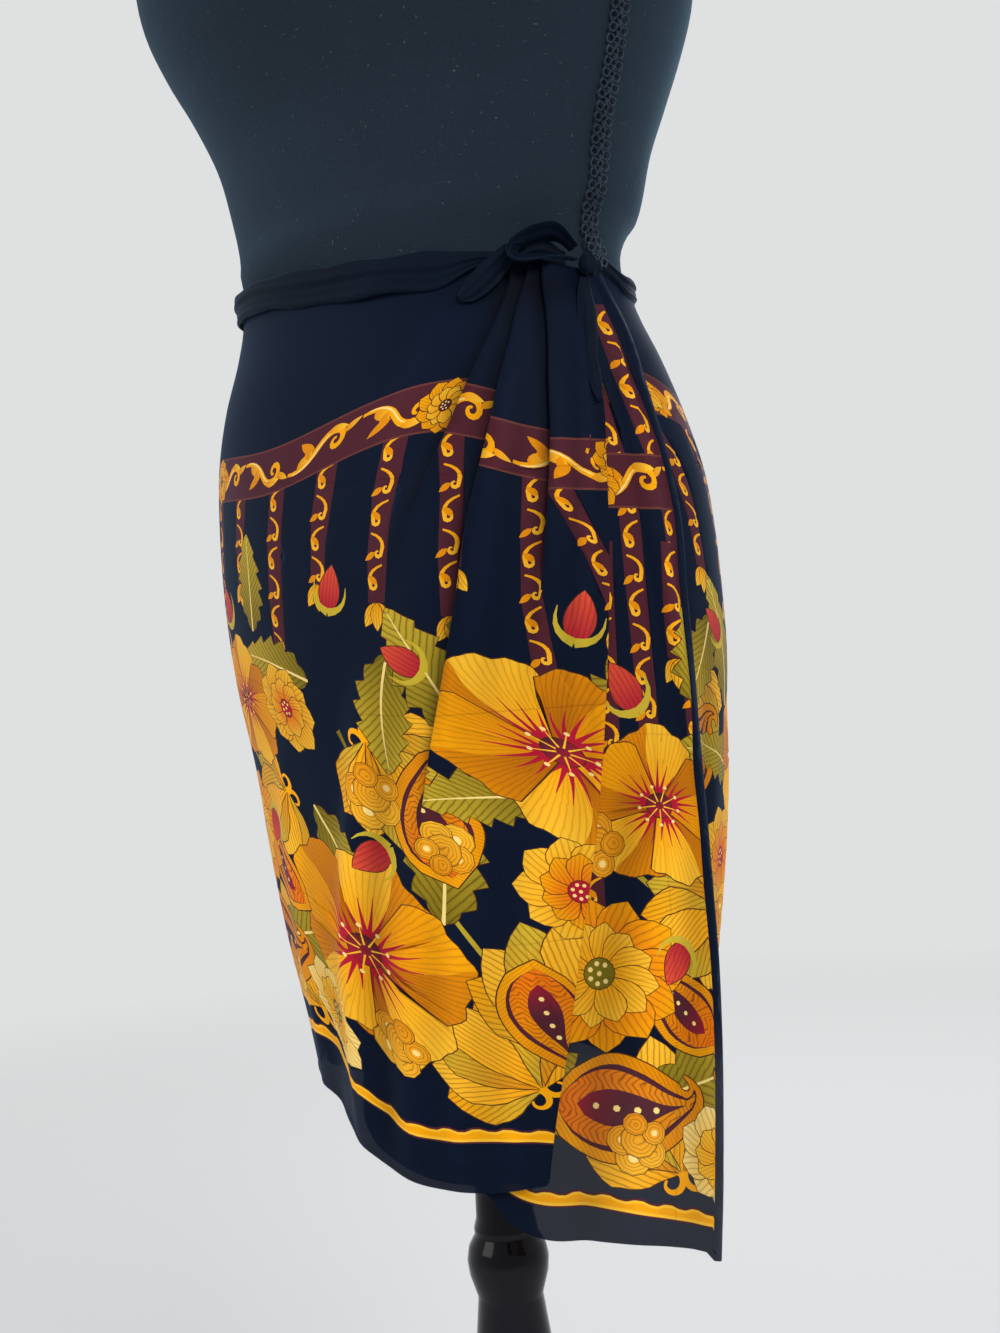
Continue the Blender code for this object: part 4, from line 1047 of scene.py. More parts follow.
BACK_CREASES = [([(0.52, a), (0.76, a + lean), (1.02, a + 1.6 * lean)], rise, width, low, high)
                for a, lean, rise, width, low, high in (
                    (104, -3, -0.0020, 0.009, 0.50, 0.84), (121, 2, 0.0015, 0.010, 0.50, 0.78),
                    (139, -4, -0.0026, 0.011, 0.50, 0.80), (161, 3, 0.0014, 0.012, 0.50, 0.74),
                    (182, -2, -0.0022, 0.010, 0.50, 0.82), (204, 4, 0.0012, 0.012, 0.50, 0.76),
                    (226, -3, -0.0026, 0.010, 0.50, 0.80), (249, 2, 0.0015, 0.012, 0.50, 0.78),
                    (110, 5, -0.0007, 0.004, 0.96, 1.03), (128, -4, -0.0006, 0.005, 0.965, 1.03),
                    (150, 3, -0.0008, 0.004, 0.95, 1.03), (173, -3, -0.0006, 0.005, 0.97, 1.03),
                    (197, 4, -0.0008, 0.004, 0.955, 1.03), (219, -4, -0.0006, 0.005, 0.965, 1.03),
                    (243, 3, -0.0007, 0.004, 0.96, 1.03))]
TAIL_CREASES = [
    ([(0.73, 89.8), (0.80, 85.5), (0.85, 83.6), (0.90, 82.6), (0.96, 84.0), (1.01, 85.0)],
     0.0016, 0.0045, 0.70, 1.00),
    ([(0.73, 87.5), (0.80, 82.5), (0.85, 80.6), (0.90, 79.6), (0.96, 82.0), (1.01, 83.4)],
     -0.0013, 0.0042, 0.70, 1.00),
    ([(0.90, 86.5), (0.93, 86.0), (0.98, 88.5), (1.01, 87.0)], -0.0014, 0.0030, 0.90, 1.01),
    ([(0.90, 89.4), (0.93, 89.6), (0.98, 92.3), (1.01, 89.0)], 0.0012, 0.0028, 0.90, 1.01),
    ([(0.49, 60.0), (0.60, 66.0), (0.70, 71.0), (0.80, 74.0)], -0.0020, 0.0100, 0.46, 0.76),
    ([(0.49, 71.0), (0.60, 76.0), (0.70, 79.0), (0.80, 80.0)], 0.0018, 0.0090, 0.46, 0.74),
    ([(0.49, 83.0), (0.60, 85.0), (0.70, 86.0), (0.80, 86.0)], -0.0012, 0.0060, 0.46, 0.72)]


def creased(creases, angle, height):
    """What the creases add to the cloth's level."""
    total = np.zeros(len(angle))
    for table, rise, width, low, high in creases:
        away = np.radians(angle - curve(table, 1, 200)(height)) * HIP_RADIUS
        fade = ease(low, low + 0.05, height) * ease(high, high - 0.05, height)
        total += CREASES_STAND * rise * np.exp(-(away / width) ** 2) * fade
    return total


def rounded(distance, radius):
    """Distance from a fold on either side of it, eased over the fold's own radius."""
    return np.sqrt(distance ** 2 + radius ** 2) - radius


def past_fold(distance, radius):
    """How far past a fold the cloth is, nought before it, eased over the fold's own radius."""
    return (distance + np.sqrt(distance ** 2 + radius ** 2)) / 2


def kept_above(rise, floor):
    """Stops a crease from sinking into the cloth or the form beneath."""
    return floor + past_fold(rise - floor, MAY_SINK)


def wrap_height(turn, y):
    """Height of the cloth y down at a turn, which counts on past 360 where it crosses the front again."""
    angle = np.where(turn >= RIGHT_HIP, turn - 360, turn)
    hem = np.where(turn >= RIGHT_HIP, front_hem(angle), inner_hem(turn))
    top = skirt_top(angle)
    return top + (hem - top) * y / CLOTH_DEPTH


def wrap_level(turn, height):
    """Level of the cloth without its pleats: it rides over its own inner edge and over the tail's inner fold."""
    angle = turn - 360
    inner = inner_line(height)
    front = PLY * ease(INNER_EDGE - 34, INNER_EDGE - 3, angle) + 2 * PLY * ease(inner - 14, inner - 4, angle)
    front = front + kept_above(hem_wave(angle, height) + creased(FRONT_CREASES, angle, height), -MAY_SINK)
    back = hem_wave(turn * 6 / 9, height) * ease(60, 95, turn) + creased(BACK_CREASES, turn, height)
    back = kept_above(back, -0.0003 - 0.0040 * ease(0.79, 0.75, height))
    share = ease(262, 278, turn)
    return np.where(turn < 90, 0.0, 1.0) * back * (1 - share) + front * share


wrap_turn = np.arange(INNER_EDGE - 4, 452, 0.5)
wrap_arc = []
for y in row_y:
    height = wrap_height(wrap_turn, y)
    arc = lengths(on_skirt(wrap_turn, height, 0.0))
    wrap_arc.append(arc - np.interp(RIGHT_HIP, wrap_turn, arc))
wrap_turns = [wrap_turn] * len(row_y)


def wrap_arc_at(turns):
    """How far along the cloth each row is at its turn."""
    return np.array([np.interp(t, wrap_turn, a) for t, a in zip(turns, wrap_arc)])


pleat_rows = []                       # for each pleat, row by row, where its hidden fold is and its depth
taken = np.zeros(len(row_y))
for line, _, _, crisp_end, _, depth in PLEATS:
    turn = crossing(lambda z: lines[line](z) + 360, wrap_height, 400)
    depth_rows = depth * ease(crisp_end - 0.03, crisp_end + 0.07, wrap_height(turn, row_y))
    pleat_rows.append((wrap_arc_at(turn) + depth_rows + taken, depth_rows))
    taken = taken + 2 * depth_rows
deep_rows = wrap_arc_at(crossing(lambda z: deep_line(z) + 360, wrap_height, 425)) + taken


def place_wrap(s, y):
    """Where the cloth at s along the wrap and y down it lies: angle from the front, height and level."""
    at = s.copy()
    plies, depths = [], []
    for fold_rows, depth_rows in pleat_rows:
        past, depth = s - np.interp(y, row_y, fold_rows), np.interp(y, row_y, depth_rows)
        soft = np.minimum(FOLD_ROUND, depth / 6) + 1e-7
        at -= 2 * (past_fold(past, soft) - past_fold(past - depth, soft))
        plies.append((ease(-PLY_STEP, PLY_STEP, past) + ease(-PLY_STEP, PLY_STEP, past - depth)) / 2)
        depths.append(depth)
    past_edge = s - np.interp(y, row_y, deep_rows)
    at -= 2 * past_fold(past_edge, FOLD_ROUND)
    turn = along_rows(y, at, wrap_arc, wrap_turns)
    height = wrap_height(turn, y)
    level = wrap_level(turn, height)
    angle = turn - 360
    for (line, top, low, crisp_end, back, _), ply, depth in zip(PLEATS, plies, depths):
        away = angle - lines[line](height)
        crisp = ease(LEAST_PLEAT, 3 * LEAST_PLEAT, depth)
        size = low + (top - low) * ease(crisp_end - 0.06, crisp_end + 0.02, height)
        falls = 1 - ease(0.0, back, away)
        gentle = ease(-0.9 - (1 - crisp) * 6.0, 0.0, away)
        level = level + size * falls * (ply * crisp + gentle * (1 - crisp))
    return turn, height, level - (PLY - 0.0003) * ease(-0.0010, 0.0010, past_edge)


def wrap_shade(s, y, turn, height):
    """Painted shade on the cloth's colour beside each pleat's edge, along the deep fold, in the troughs and under
    the tie, and painted highlight on the crests.
    """
    angle = turn - 360
    dark = 0.45 * np.exp(-((skirt_top(angle) - 0.012 - height) / 0.011) ** 2) * ease(20, 60, angle)
    for (line, _, _, crisp_end, _, _), (fold_rows, depth_rows) in zip(PLEATS, pleat_rows):
        away = angle - lines[line](height)
        reach = ease(crisp_end - 0.10, crisp_end + 0.05, height)
        above = s > np.interp(y, row_y, fold_rows)
        dark = dark + reach * np.where(above, 0.35 * np.exp(-(away / 0.9) ** 2), 0.62 * np.exp(-(away / 2.3) ** 2))
    away = angle - deep_line(height)
    dark = dark + 0.40 * np.exp(-(away / 2.6) ** 2) * ease(0.84, 0.96, height)
    crease_shade = creased(FRONT_CREASES, angle, height) + creased(BACK_CREASES, turn, height)
    return 1 - np.clip(dark, 0, 0.75) + np.clip(crease_shade * TROUGH_SHADE, TROUGH_DARKEST, CREST_LIGHTEST)


def tail_height(angle, y):
    top = skirt_top(angle)
    return top + (tail_hem(angle) - top) * y / CLOTH_DEPTH


def tail_level(angle, height):
    """Level of the tail without its creases: it hangs straight, clear of the narrowing skirt."""
    fold, free = deep_line(height), free_edge(height)
    across = (angle - fold) / np.maximum(free - fold, 1.0)
    return PLY + ease(0.86, 0.50, height) * 0.040 * ease(0.0, 1.0, across)


tail_turn = np.arange(-20, 104, 0.5)
inner_turn = crossing(inner_line, tail_height, 20)
free_turn = crossing(free_edge, tail_height, 91)
deep_turn = crossing(deep_line, tail_height, 65)
tail_arc, ply_arc = [], []
for y, inner, free in zip(row_y, inner_turn, free_turn):
    height = tail_height(tail_turn, y)
    arc = lengths(on_skirt(tail_turn, height, tail_level(tail_turn, height)))
    tail_arc.append(arc - np.interp(free, tail_turn, arc))
    arc = lengths(on_skirt(tail_turn, height, 2 * PLY))
    ply_arc.append(arc - np.interp(inner, tail_turn, arc))
tail_turns = [tail_turn] * len(row_y)
tail_width = -np.array([np.interp(t, tail_turn, a) for t, a in zip(inner_turn, tail_arc)])
ply_width = np.array([np.interp(t, tail_turn, a) for t, a in zip(deep_turn, ply_arc)]) - 0.007


def place_tail(s, y):
    """The same for the tail's length, where s is minus the distance from the free edge."""
    width = np.interp(y, row_y, tail_width)
    past = -s - width
    outer = along_rows(y, -width + rounded(np.minimum(past, 0), FOLD_ROUND), tail_arc, tail_turns)
    under = along_rows(y, rounded(np.maximum(past, 0), FOLD_ROUND), ply_arc, tail_turns)
    angle = np.where(past < 0, outer, under)
    top = skirt_top(angle)
    band = ease(-BAND - 0.0004, -BAND + 0.0004, s)
    turned = ease(0.0, 0.014, past)
    hem = tail_hem(angle) * (1 - turned) + (front_hem(angle) + 0.003) * turned - 0.0040 * band
    height = top + (hem - top) * y / CLOTH_DEPTH
    fold = deep_line(height)
    level = creased(TAIL_CREASES, angle, height) * ease(-0.002, -0.012, s)
    level = tail_level(angle, height) + kept_above(level, -MAY_SINK - 0.0040 * ease(fold, fold + 6, angle))
    level = level + 0.0007 * band - 0.0030 * ease(-BAND * 0.75, 0.0, s) ** 2
    return angle, height, level + (2 * PLY - level) * ease(-PLY_STEP, PLY_STEP, past)


def winding(points, polygon):
    """How many times the polygon runs round each point."""
    x, y = points[:, 0:1], points[:, 1:2]
    ax, ay = polygon[:, 0], polygon[:, 1]
    bx, by = np.roll(ax, -1), np.roll(ay, -1)
    left = (bx - ax) * (y - ay) - (x - ax) * (by - ay)
    return ((ay <= y) & (by > y) & (left > 0)).sum(axis=1) - ((ay > y) & (by <= y) & (left < 0)).sum(axis=1)


def topmost(spots, flats):
    """Number of the last laid of the shapes that cover each spot, or -1 on the bare ground."""
    order = np.argsort(spots[:, 0])
    sorted_x = spots[order, 0]
    top = np.full(len(spots), -1)
    for number, flat in enumerate(flats):
        lo, hi = np.searchsorted(sorted_x, (flat[:, 0].min(), flat[:, 0].max()))
        near = order[lo:hi]
        near = near[(spots[near, 1] > flat[:, 1].min()) & (spots[near, 1] < flat[:, 1].max())]
        if len(near):
            top[near[winding(spots[near], flat) != 0]] = number
    return top


EDGE_STEP = 0.004                     # between points along the cloth's edges and folds
FOLD_TRACKS = (-0.0016, -0.0008, -0.0003, 0.0, 0.0003, 0.0008, 0.0016)
HEM_TRACKS = (0.0012, 0.0028, 0.0036)
LONGEST_HIDDEN = 0.012                # a longer line can show between covered ends
ROW_SHARE = 0.866                     # rows of the grid stand closer than its columns, for even triangles
BACK_INK = 0.7                        # how much of the ink shows through on the back


def cut_cloth(left, right, folds, cuts, shapes, spacing):
    """Cuts a length of cloth, between two edges given by rows, into triangles that follow its folds and its print.

    Gives the points, the triangles, and each triangle's shape number, or -1 on the bare ground."""
    down = np.linspace(0, CLOTH_DEPTH, round(CLOTH_DEPTH / EDGE_STEP) + 1)
    lefts, rights = np.interp(down, row_y, left), np.interp(down, row_y, right)
    foot = np.linspace(lefts[-1], rights[-1], int((rights[-1] - lefts[-1]) / EDGE_STEP))
    head = np.linspace(lefts[0], rights[0], int((rights[0] - lefts[0]) / EDGE_STEP))
    outline = np.vstack([np.column_stack([lefts, down]),
                         np.column_stack([foot, np.full(len(foot), CLOTH_DEPTH)])[1:-1],
                         np.column_stack([rights, down])[::-1],
                         np.column_stack([head, np.zeros(len(head))])[-2:0:-1]])
    chains = [(outline, True)]
    for fold, live in folds + [(cut, np.ones(len(row_y))) for cut in cuts]:
        rows = down[1:-1][np.interp(down[1:-1], row_y, live) > 0.5]
        chains += [(np.column_stack([np.interp(rows, row_y, fold) + shift, rows]), False) for shift in FOLD_TRACKS]
    hem = np.arange(lefts.min(), rights.max(), EDGE_STEP)
    chains += [(np.column_stack([hem, np.full(len(hem), CLOTH_DEPTH - up)]), False) for up in HEM_TRACKS]
    flats = [points @ matrix + offset for points, (matrix, offset), paint in shapes]
    laid = [len(flats)] * len(chains)
    for number, flat in enumerate(flats):
        if flat[:, 0].max() > lefts.min() and flat[:, 0].min() < rights.max():
            chains.append((flat, True))
            laid.append(number)
    firm = np.vstack([points for points, _ in chains])
    edges = []
    count = 0
    for points, closed in chains:
        edges += [(count + i, count + i + 1) for i in range(len(points) - 1)]
        if closed:
            edges.append((count + len(points) - 1, count))
        count += len(points)
    # An outline is left out where later shapes lie over it.
    edges = np.array(edges)
    number = np.repeat(laid, [len(points) for points, _ in chains])
    start = firm[edges[:, 0]]
    way = firm[edges[:, 1]] - start
    under = np.all([topmost(start + way * share, flats) > number[edges[:, 0]] for share in (0, 0.5, 1)], axis=0)
    edges = edges[~(under & (np.hypot(*way.T) < LONGEST_HIDDEN))]
    kept = np.unique(edges)
    firm, edges = firm[kept], np.searchsorted(kept, edges).tolist()
    tree = KDTree(len(firm))
    for i, (x, y) in enumerate(firm):
        tree.insert((x, y, 0), i)
    tree.balance()
    grid = [(x + (row % 2) * spacing / 2, y)
            for row, y in enumerate(np.arange(0.002, CLOTH_DEPTH, spacing * ROW_SHARE))
            for x in np.arange(lefts.min(), rights.max(), spacing)]
    grid = [spot for spot in grid if tree.find((*spot, 0))[2] > spacing * 0.42]
    spots = [Vector(p) for p in np.vstack([firm, grid]).tolist()]
    made = delaunay_2d_cdt(spots, edges, [], 0, 1e-6, False)
    points = np.array([tuple(v) for v in made[0]])
    triangles = np.array([f for f in made[2] if len(f) == 3])[:, ::-1]
    triangles = triangles[winding(points[triangles].mean(axis=1), outline) != 0]
    return points, triangles, topmost(points[triangles].mean(axis=1), flats)


def ink(points, triangles, top_shape, shapes, bare):
    """Colour, rib count and rib depth at every corner of the triangles. bare marks triangles kept unprinted."""
    colours = np.tile(np.array((*GROUND, 0.0)), (len(triangles) * 3, 1))
    ribs = np.zeros((len(triangles) * 3, 2))
    top_shape = np.where(bare, -1, top_shape)
    order = np.argsort(top_shape, kind="stable")
    numbers, starts = np.unique(top_shape[order], return_index=True)
    for number, chosen in zip(numbers, np.split(order, starts[1:])):
        if number < 0:
            continue
        _, (matrix, offset), paint = shapes[number]
        corners = (chosen[:, None] * 3 + np.arange(3)).ravel()
        local = (points[triangles[chosen]].reshape(-1, 2) - offset) @ np.linalg.inv(matrix)
        colour, counted, depth = paint(local)
        colours[corners, :3] = colour
        colours[corners, 3] = 1.0
        ribs[corners, 0] = counted
        ribs[corners, 1] = depth
    return colours, ribs


def shell(name, spots, normals, thick, triangles, chart, colours, ribs, material):
    """Cloth of the given thickness about a surface, closed along its edges, with its print and painted shade on
    both faces.
    """
    used, triangles = np.unique(triangles, return_inverse=True)
    triangles = triangles.reshape(-1, 3)
    spots, normals, thick, chart = spots[used], normals[used], thick[used], chart[used]
    half = len(used)
    points = np.vstack([spots + normals * thick[:, None] / 2, spots - normals * thick[:, None] / 2])
    pairs = np.vstack([triangles[:, (0, 1)], triangles[:, (1, 2)], triangles[:, (2, 0)]])
    owner = np.tile(np.arange(len(triangles)), 3)
    keys = np.sort(pairs, axis=1)
    _, first, counts = np.unique(keys, axis=0, return_index=True, return_counts=True)
    rim = first[counts == 1]
    a, b = pairs[rim, 0], pairs[rim, 1]
    walls = np.vstack([np.column_stack([b, a, a + half]), np.column_stack([b, a + half, b + half])])
    faces = np.vstack([triangles, triangles[:, ::-1] + half, walls])
    mesh = bpy.data.meshes.new(name)
    mesh.from_pydata(points.tolist(), [], faces.tolist())
    mesh.shade_smooth()
    both = np.vstack([chart, chart])
    corner_point = faces.ravel()
    edge_owner = np.concatenate([owner[rim], owner[rim]])
    colours = colours.reshape(-1, 3, 4)
    back = colours[:, ::-1].copy()
    back[:, :, 3] *= BACK_INK
    wall_colours = np.repeat(colours[edge_owner][:, :1], 3, axis=1) * (1, 1, 1, 0)
    wall_colours[:, :, :3] = GROUND
    all_colours = np.vstack([colours, back, wall_colours]).reshape(-1, 4)
    ribs = ribs.reshape(-1, 3, 2)
    all_ribs = np.vstack([ribs, ribs[:, ::-1], np.zeros((len(walls), 3, 2))]).reshape(-1, 2)
    # The print attribute holds the print's colours with the painted shade and highlight multiplied in.
    mesh.attributes.new("print", "FLOAT_COLOR", "CORNER").data.foreach_set("color", all_colours.ravel())
    mesh.uv_layers.new(name="cloth").uv.foreach_set("vector", both[corner_point].ravel())
    mesh.uv_layers.new(name="ribs").uv.foreach_set("vector", all_ribs.ravel())
    mesh.normals_split_custom_set_from_vertices(np.vstack([normals, -normals]).tolist())
    mesh.materials.append(material)
    piece = bpy.data.objects.new(name, mesh)
    bpy.context.scene.collection.objects.link(piece)
    return piece


def cut_size(chart, triangles, drop):
    """Width, depth and area of the flat cut. The chart draws the cloth to one depth; drop is its real depth."""
    a, b, c = (chart[triangles[:, k]] for k in range(3))
    flat = np.abs((b - a)[:, 0] * (c - a)[:, 1] - (b - a)[:, 1] * (c - a)[:, 0]) / 2
    real = drop[triangles].mean(axis=1)
    return (float(np.ptp(chart[triangles][:, :, 0])), float(real.max())), float((flat * real).sum() / CLOTH_DEPTH)


def surface_normals(spots, triangles):
    """Normal at each point, the mean of its triangles' by their area."""
    a, b, c = (spots[triangles[:, k]] for k in range(3))
    face = np.cross(b - a, c - a)
    normals = np.zeros_like(spots)
    for k in range(3):
        np.add.at(normals, triangles[:, k], face)
    return normals / (np.linalg.norm(normals, axis=1)[:, None] + 1e-12)


STITCHED_AT = 0.4962                  # depth of the hem's stitches
PRESSED_ACROSS, PRESSED_DOWN = 0.0875, 0.0625  # half the distances between the folds pressed into the cloth
SHEER_FROM, SHEER_TO = 0.36, 0.41     # depths between which the bare ground turns a little sheer


def printed_silk(name, sheerness):
    """Georgette with a crepe grain, soft folds pressed into it with painted shade along them, and ink that lies
    unevenly over the weave.
    """
    silk = Shader(name, GROUND, 0.62, Specular_IOR_Level=0.055, Sheen_Weight=0.09, Sheen_Roughness=0.35,
                  Sheen_Tint=(0.12, 0.46, 1.0, 1.0))
    # The print colours carry the painted shade and highlight of the folds and creases.
    colour, inked = (silk.node("ShaderNodeAttribute", {"attribute_name": "print"}, (), part)
                     for part in ("Color", "Alpha"))
    ribs, chart = silk.node("ShaderNodeUVMap", {"uv_map": "ribs"}), silk.place(uv="cloth")
    count, depth, across, down = (silk.node("ShaderNodeSeparateXYZ", {}, [where], axis)
                                  for where in (ribs, chart) for axis in "XY")
    phase = (count + silk.noise(chart, 160.0, 2.0) * 0.5).maths("PINGPONG", 0.5)
    fine_line = (1.0 - phase * 7.0).clamped()
    hollow = 0.5 - phase
    blotch = silk.noise(chart, 55.0, 4.0, 0.6)
    stipple = silk.noise(chart, 900.0, 2.0, 0.6)
    tone = silk.mix((fine_line * depth).clamped(), colour, LINE)
    tone = silk.mix((hollow * depth * 0.9).clamped(), tone, (0.50, 0.27, 0.05), "MULTIPLY")
    tone = silk.mix((blotch * 0.34 + stipple * 0.16).clamped(), tone, (0.72, 0.56, 0.36), "MULTIPLY")
    ground = silk.mix(blotch * 0.6, colour, (0.62, 0.66, 0.70), "MULTIPLY")
    colour = silk.mix(inked.clamped(), ground, tone)
    grain = silk.noise(silk.place((2900.0, 2500.0, 1.0), uv="cloth"), 1.0, 1.0, 0.6)
    pressed_across = (1.0 - (across + 0.031).maths("PINGPONG", PRESSED_ACROSS) / 0.0007).clamped()
    pressed_down = (1.0 - (down + 0.012).maths("PINGPONG", PRESSED_DOWN) / 0.0007).clamped()
    pressed = (pressed_across + pressed_down).clamped() * silk.noise(chart, 9.0, 1.0)
    stitch = (1.0 - (down - STITCHED_AT).maths("ABSOLUTE") / 0.0004).clamped()
    stitch = stitch * across.maths("PINGPONG", 0.0016).over(0.0006)
    # Painted shade along the pressed folds.
    colour = silk.mix(pressed * 0.55, colour, (0.25, 0.22, 0.24), "MULTIPLY")
    relief = grain * 0.18 - pressed * 0.8 - stitch * 0.8 + inked * 0.10
    lets_through = (1.0 - inked * 0.55).clamped() * sheerness
    sheer = lets_through * ((down - SHEER_FROM) / (SHEER_TO - SHEER_FROM)).clamped()
    return silk.give(Base_Color=colour, Roughness=0.66 - inked * 0.06 - stipple * 0.08, Alpha=1.0 - sheer,
                     Normal=silk.bump(relief, 0.35, 0.0004))


def wall(y, banded=0.0):
    """Thickness of the cloth, which is more at its rolled hem and where banded says."""
    hemmed = ease(CLOTH_DEPTH - HEM_DEEP - 0.0004, CLOTH_DEPTH - HEM_DEEP + 0.0004, y)
    return CLOTH_THICK + (HEM_THICK - CLOTH_THICK) * np.maximum(hemmed, banded)


WRAP_SHEER, TAIL_SHEER = 0.13, 0.18
WRAP_SHIFT, TAIL_SHIFT = 0.055, 0.235  # how far the print's repeats slide along each length
TAIL_DROP = 0.022                     # and down the tail
PAST_BORDER = 0.0011                  # the print's outline past the border's own line
BARE_HEM = 0.004
WRAP_GRID, TAIL_GRID = 0.0052, 0.0048  # between the points that fill the cloth


def wrap_border(x):
    return border_line(np.asarray(x) + WRAP_SHIFT)


def tail_border(x):
    return 0.484 + 0.0025 * np.sin(np.asarray(x) * 41 + 2.2)


silk = printed_silk("printed_silk", WRAP_SHEER)
inner_row, hip_row = (wrap_arc_at(np.full(len(row_y), angle)) for angle in (INNER_EDGE, 90))
whole = np.ones(len(row_y))
folds = [(deep_rows, whole)]
for fold_rows, depth_rows in pleat_rows:
    folds += [(fold_rows + away, depth_rows > LEAST_PLEAT) for away in (0, depth_rows)]
shapes = drawn_cloth(float(inner_row.min()), float(deep_rows.max()) + UNDER_TURN, WRAP_SHIFT, wrap_border)
chart, triangles, top_shape = cut_cloth(inner_row, deep_rows + UNDER_TURN, folds, [0 * whole, hip_row], shapes,
                                        WRAP_GRID)
turn, height, level = place_wrap(*chart.T)
spots = on_skirt(turn, height, level)
normals = surface_normals(spots, triangles)
thick = wall(chart[:, 1])
middle = chart[triangles].mean(axis=1)
bare = middle[:, 1] > np.minimum(wrap_border(middle[:, 0]) + PAST_BORDER, CLOTH_DEPTH - BARE_HEM)
colours, ribs = ink(chart, triangles, top_shape, shapes, bare)
# Painted shade and highlight of the pleats, the deep fold, the tie and the creases, multiplied into the colours.
colours[:, :3] *= wrap_shade(*chart.T, turn, height)[triangles].reshape(-1, 1)
hip_at = np.interp(middle[:, 1], row_y, hip_row)
for name, node, chosen in (("skirt_wrap_front", "skirt_front", middle[:, 0] >= 0),
                           ("skirt_wrap_back", "skirt_back", (middle[:, 0] < 0) & (middle[:, 0] >= hip_at)),
                           ("skirt_wrap_inner_end", "skirt_inner_front", middle[:, 0] < hip_at)):
    corners = np.repeat(chosen, 3)
    piece = shell(name, spots, normals, thick, triangles[chosen], chart, colours[corners], ribs[corners], silk)
    flat, area = cut_size(chart, triangles[chosen], wrap_height(turn, 0) - wrap_height(turn, CLOTH_DEPTH))
    fasten(piece, "printed_silk", node)

left = -(tail_width + ply_width)
long_ribbons = Drawing()
for x, y, turn, length in ((-0.086, 0.060, 4, 0.20), (-0.063, 0.034, 1, 0.30), (-0.041, 0.026, -2, 0.27),
                           (-0.020, 0.018, -4, 0.33)):
    pendant(long_ribbons.at(x, y, turn), length)
shapes = long_ribbons.shapes + drawn_cloth(float(left.min()), 0.0, TAIL_SHIFT, tail_border, TAIL_DROP)
folds = [(-tail_width, whole), (-BAND * whole, whole)]
chart, triangles, top_shape = cut_cloth(left, 0 * whole, folds, [], shapes, TAIL_GRID)
angle, height, level = place_tail(*chart.T)
spots = on_skirt(angle, height, level)
normals = surface_normals(spots, triangles)
thick = wall(chart[:, 1], ease(-BAND - 0.0003, -BAND + 0.0003, chart[:, 0]))
middle = chart[triangles].mean(axis=1)
bare = (middle[:, 1] > tail_border(middle[:, 0]) + PAST_BORDER) | (middle[:, 0] > -BAND)
colours, ribs = ink(chart, triangles, top_shape, shapes, bare)
# Painted shade in the troughs of the tail's creases and painted highlight on their crests.
crease_shade = np.clip(creased(TAIL_CREASES, angle, height) * TROUGH_SHADE, TROUGH_DARKEST, CREST_LIGHTEST)
colours[:, :3] *= (1 + crease_shade)[triangles].reshape(-1, 1)
tail = shell("skirt_tail_length", spots, normals, thick, triangles, chart, colours, ribs,
             printed_silk("tail_silk", TAIL_SHEER))
flat, area = cut_size(chart, triangles, tail_height(angle, 0) - tail_height(angle, CLOTH_DEPTH))
fasten(tail, "printed_silk", "skirt_tail", "skirt_turned_under", "skirt_free_band")


# ----------------------------------------------------------------------------------------------------- tie
# The waist tie: plain black georgette strips, folded in two and bunched, that carry on from the skirt's top
# corners. They pass round the waist to one half-bow knot at the left hip, with a loop, an end that lies forward
# over the front and an end that hangs. Paths run in degrees from the front, metres up, and metres off the form.
KNOT = (82.2, 1.0030, 0.0112)
KNOT_HIGH, KNOT_DEEP, KNOT_LONG = 0.0060, 0.0043, 3.7    # half sizes: metres, metres and degrees
TIE_RISE = 0.008                      # of the tie's upper edge above the skirt's top
LOOP_LEVEL = 0.0116
LOOP_PATH = ((77.6, 1.0110), (74.4, 1.0166), (70.5, 1.0192), (65.5, 1.0172), (61.9, 1.0130), (60.4, 1.0088),
             (61.6, 1.0066), (65.2, 1.0062), (70.7, 1.0062), (77.5, 1.0052))
# Rows of an end: angle, height, level, width, and the turn of the strip about its own path in degrees.
END_ACROSS = ((64.0, 1.0136, 0.0105, 0.009, 64), (61.4, 1.0118, 0.0103, 0.010, 52),
              (59.1, 1.0085, 0.0100, 0.011, 36), (57.0, 1.0044, 0.0088, 0.012, 20),
              (54.1, 0.9992, 0.0074, 0.013, 10), (51.2, 0.9944, 0.0064, 0.012, 6),
              (48.4, 0.9906, 0.0056, 0.010, 4), (45.9, 0.9880, 0.0050, 0.004, 0))
END_DOWN = ((80.4, 0.9960, 0.0086, 0.007, 0), (80.1, 0.9932, 0.0078, 0.008, 0), (79.6, 0.9885, 0.0068, 0.010, 0),
            (78.4, 0.9800, 0.0066, 0.011, 0), (76.2, 0.9680, 0.0066, 0.010, 0), (74.2, 0.9540, 0.0066, 0.009, 0),
            (73.2, 0.9400, 0.0067, 0.008, 0), (72.6, 0.9290, 0.0068, 0.003, 0))


def georgette(name):
    """Plain black crepe: a pebbled grain, a faint slub along the strip, and a soft sheen on every fold."""
    crepe = Shader(name, srgb(6, 14, 28), 0.66, Specular_IOR_Level=0.07, Sheen_Weight=0.10,
                   Sheen_Roughness=0.35, Sheen_Tint=(0.30, 0.58, 1.0, 1.0))
    where = crepe.place()
    pebble = crepe.noise(where, 2600.0, 1.0, 0.6)
    slub = crepe.noise(crepe.place((240.0, 240.0, 900.0)), 1.0, 2.0, 0.6)
    cloud = crepe.noise(where, 60.0, 2.0)
    colour = crepe.mix(cloud, srgb(2, 9, 22), srgb(6, 16, 32))
    colour = crepe.mix(slub * 0.3, colour, srgb(12, 26, 45))
    return crepe.give(Base_Color=colour, Roughness=0.70 - pebble * 0.10,
                      Normal=crepe.bump(pebble * 0.3 + slub * 0.4, 0.35, 0.0004))


black_georgette = georgette("black_georgette")
STRIP_SIDES = 22                      # points across each face of a strip


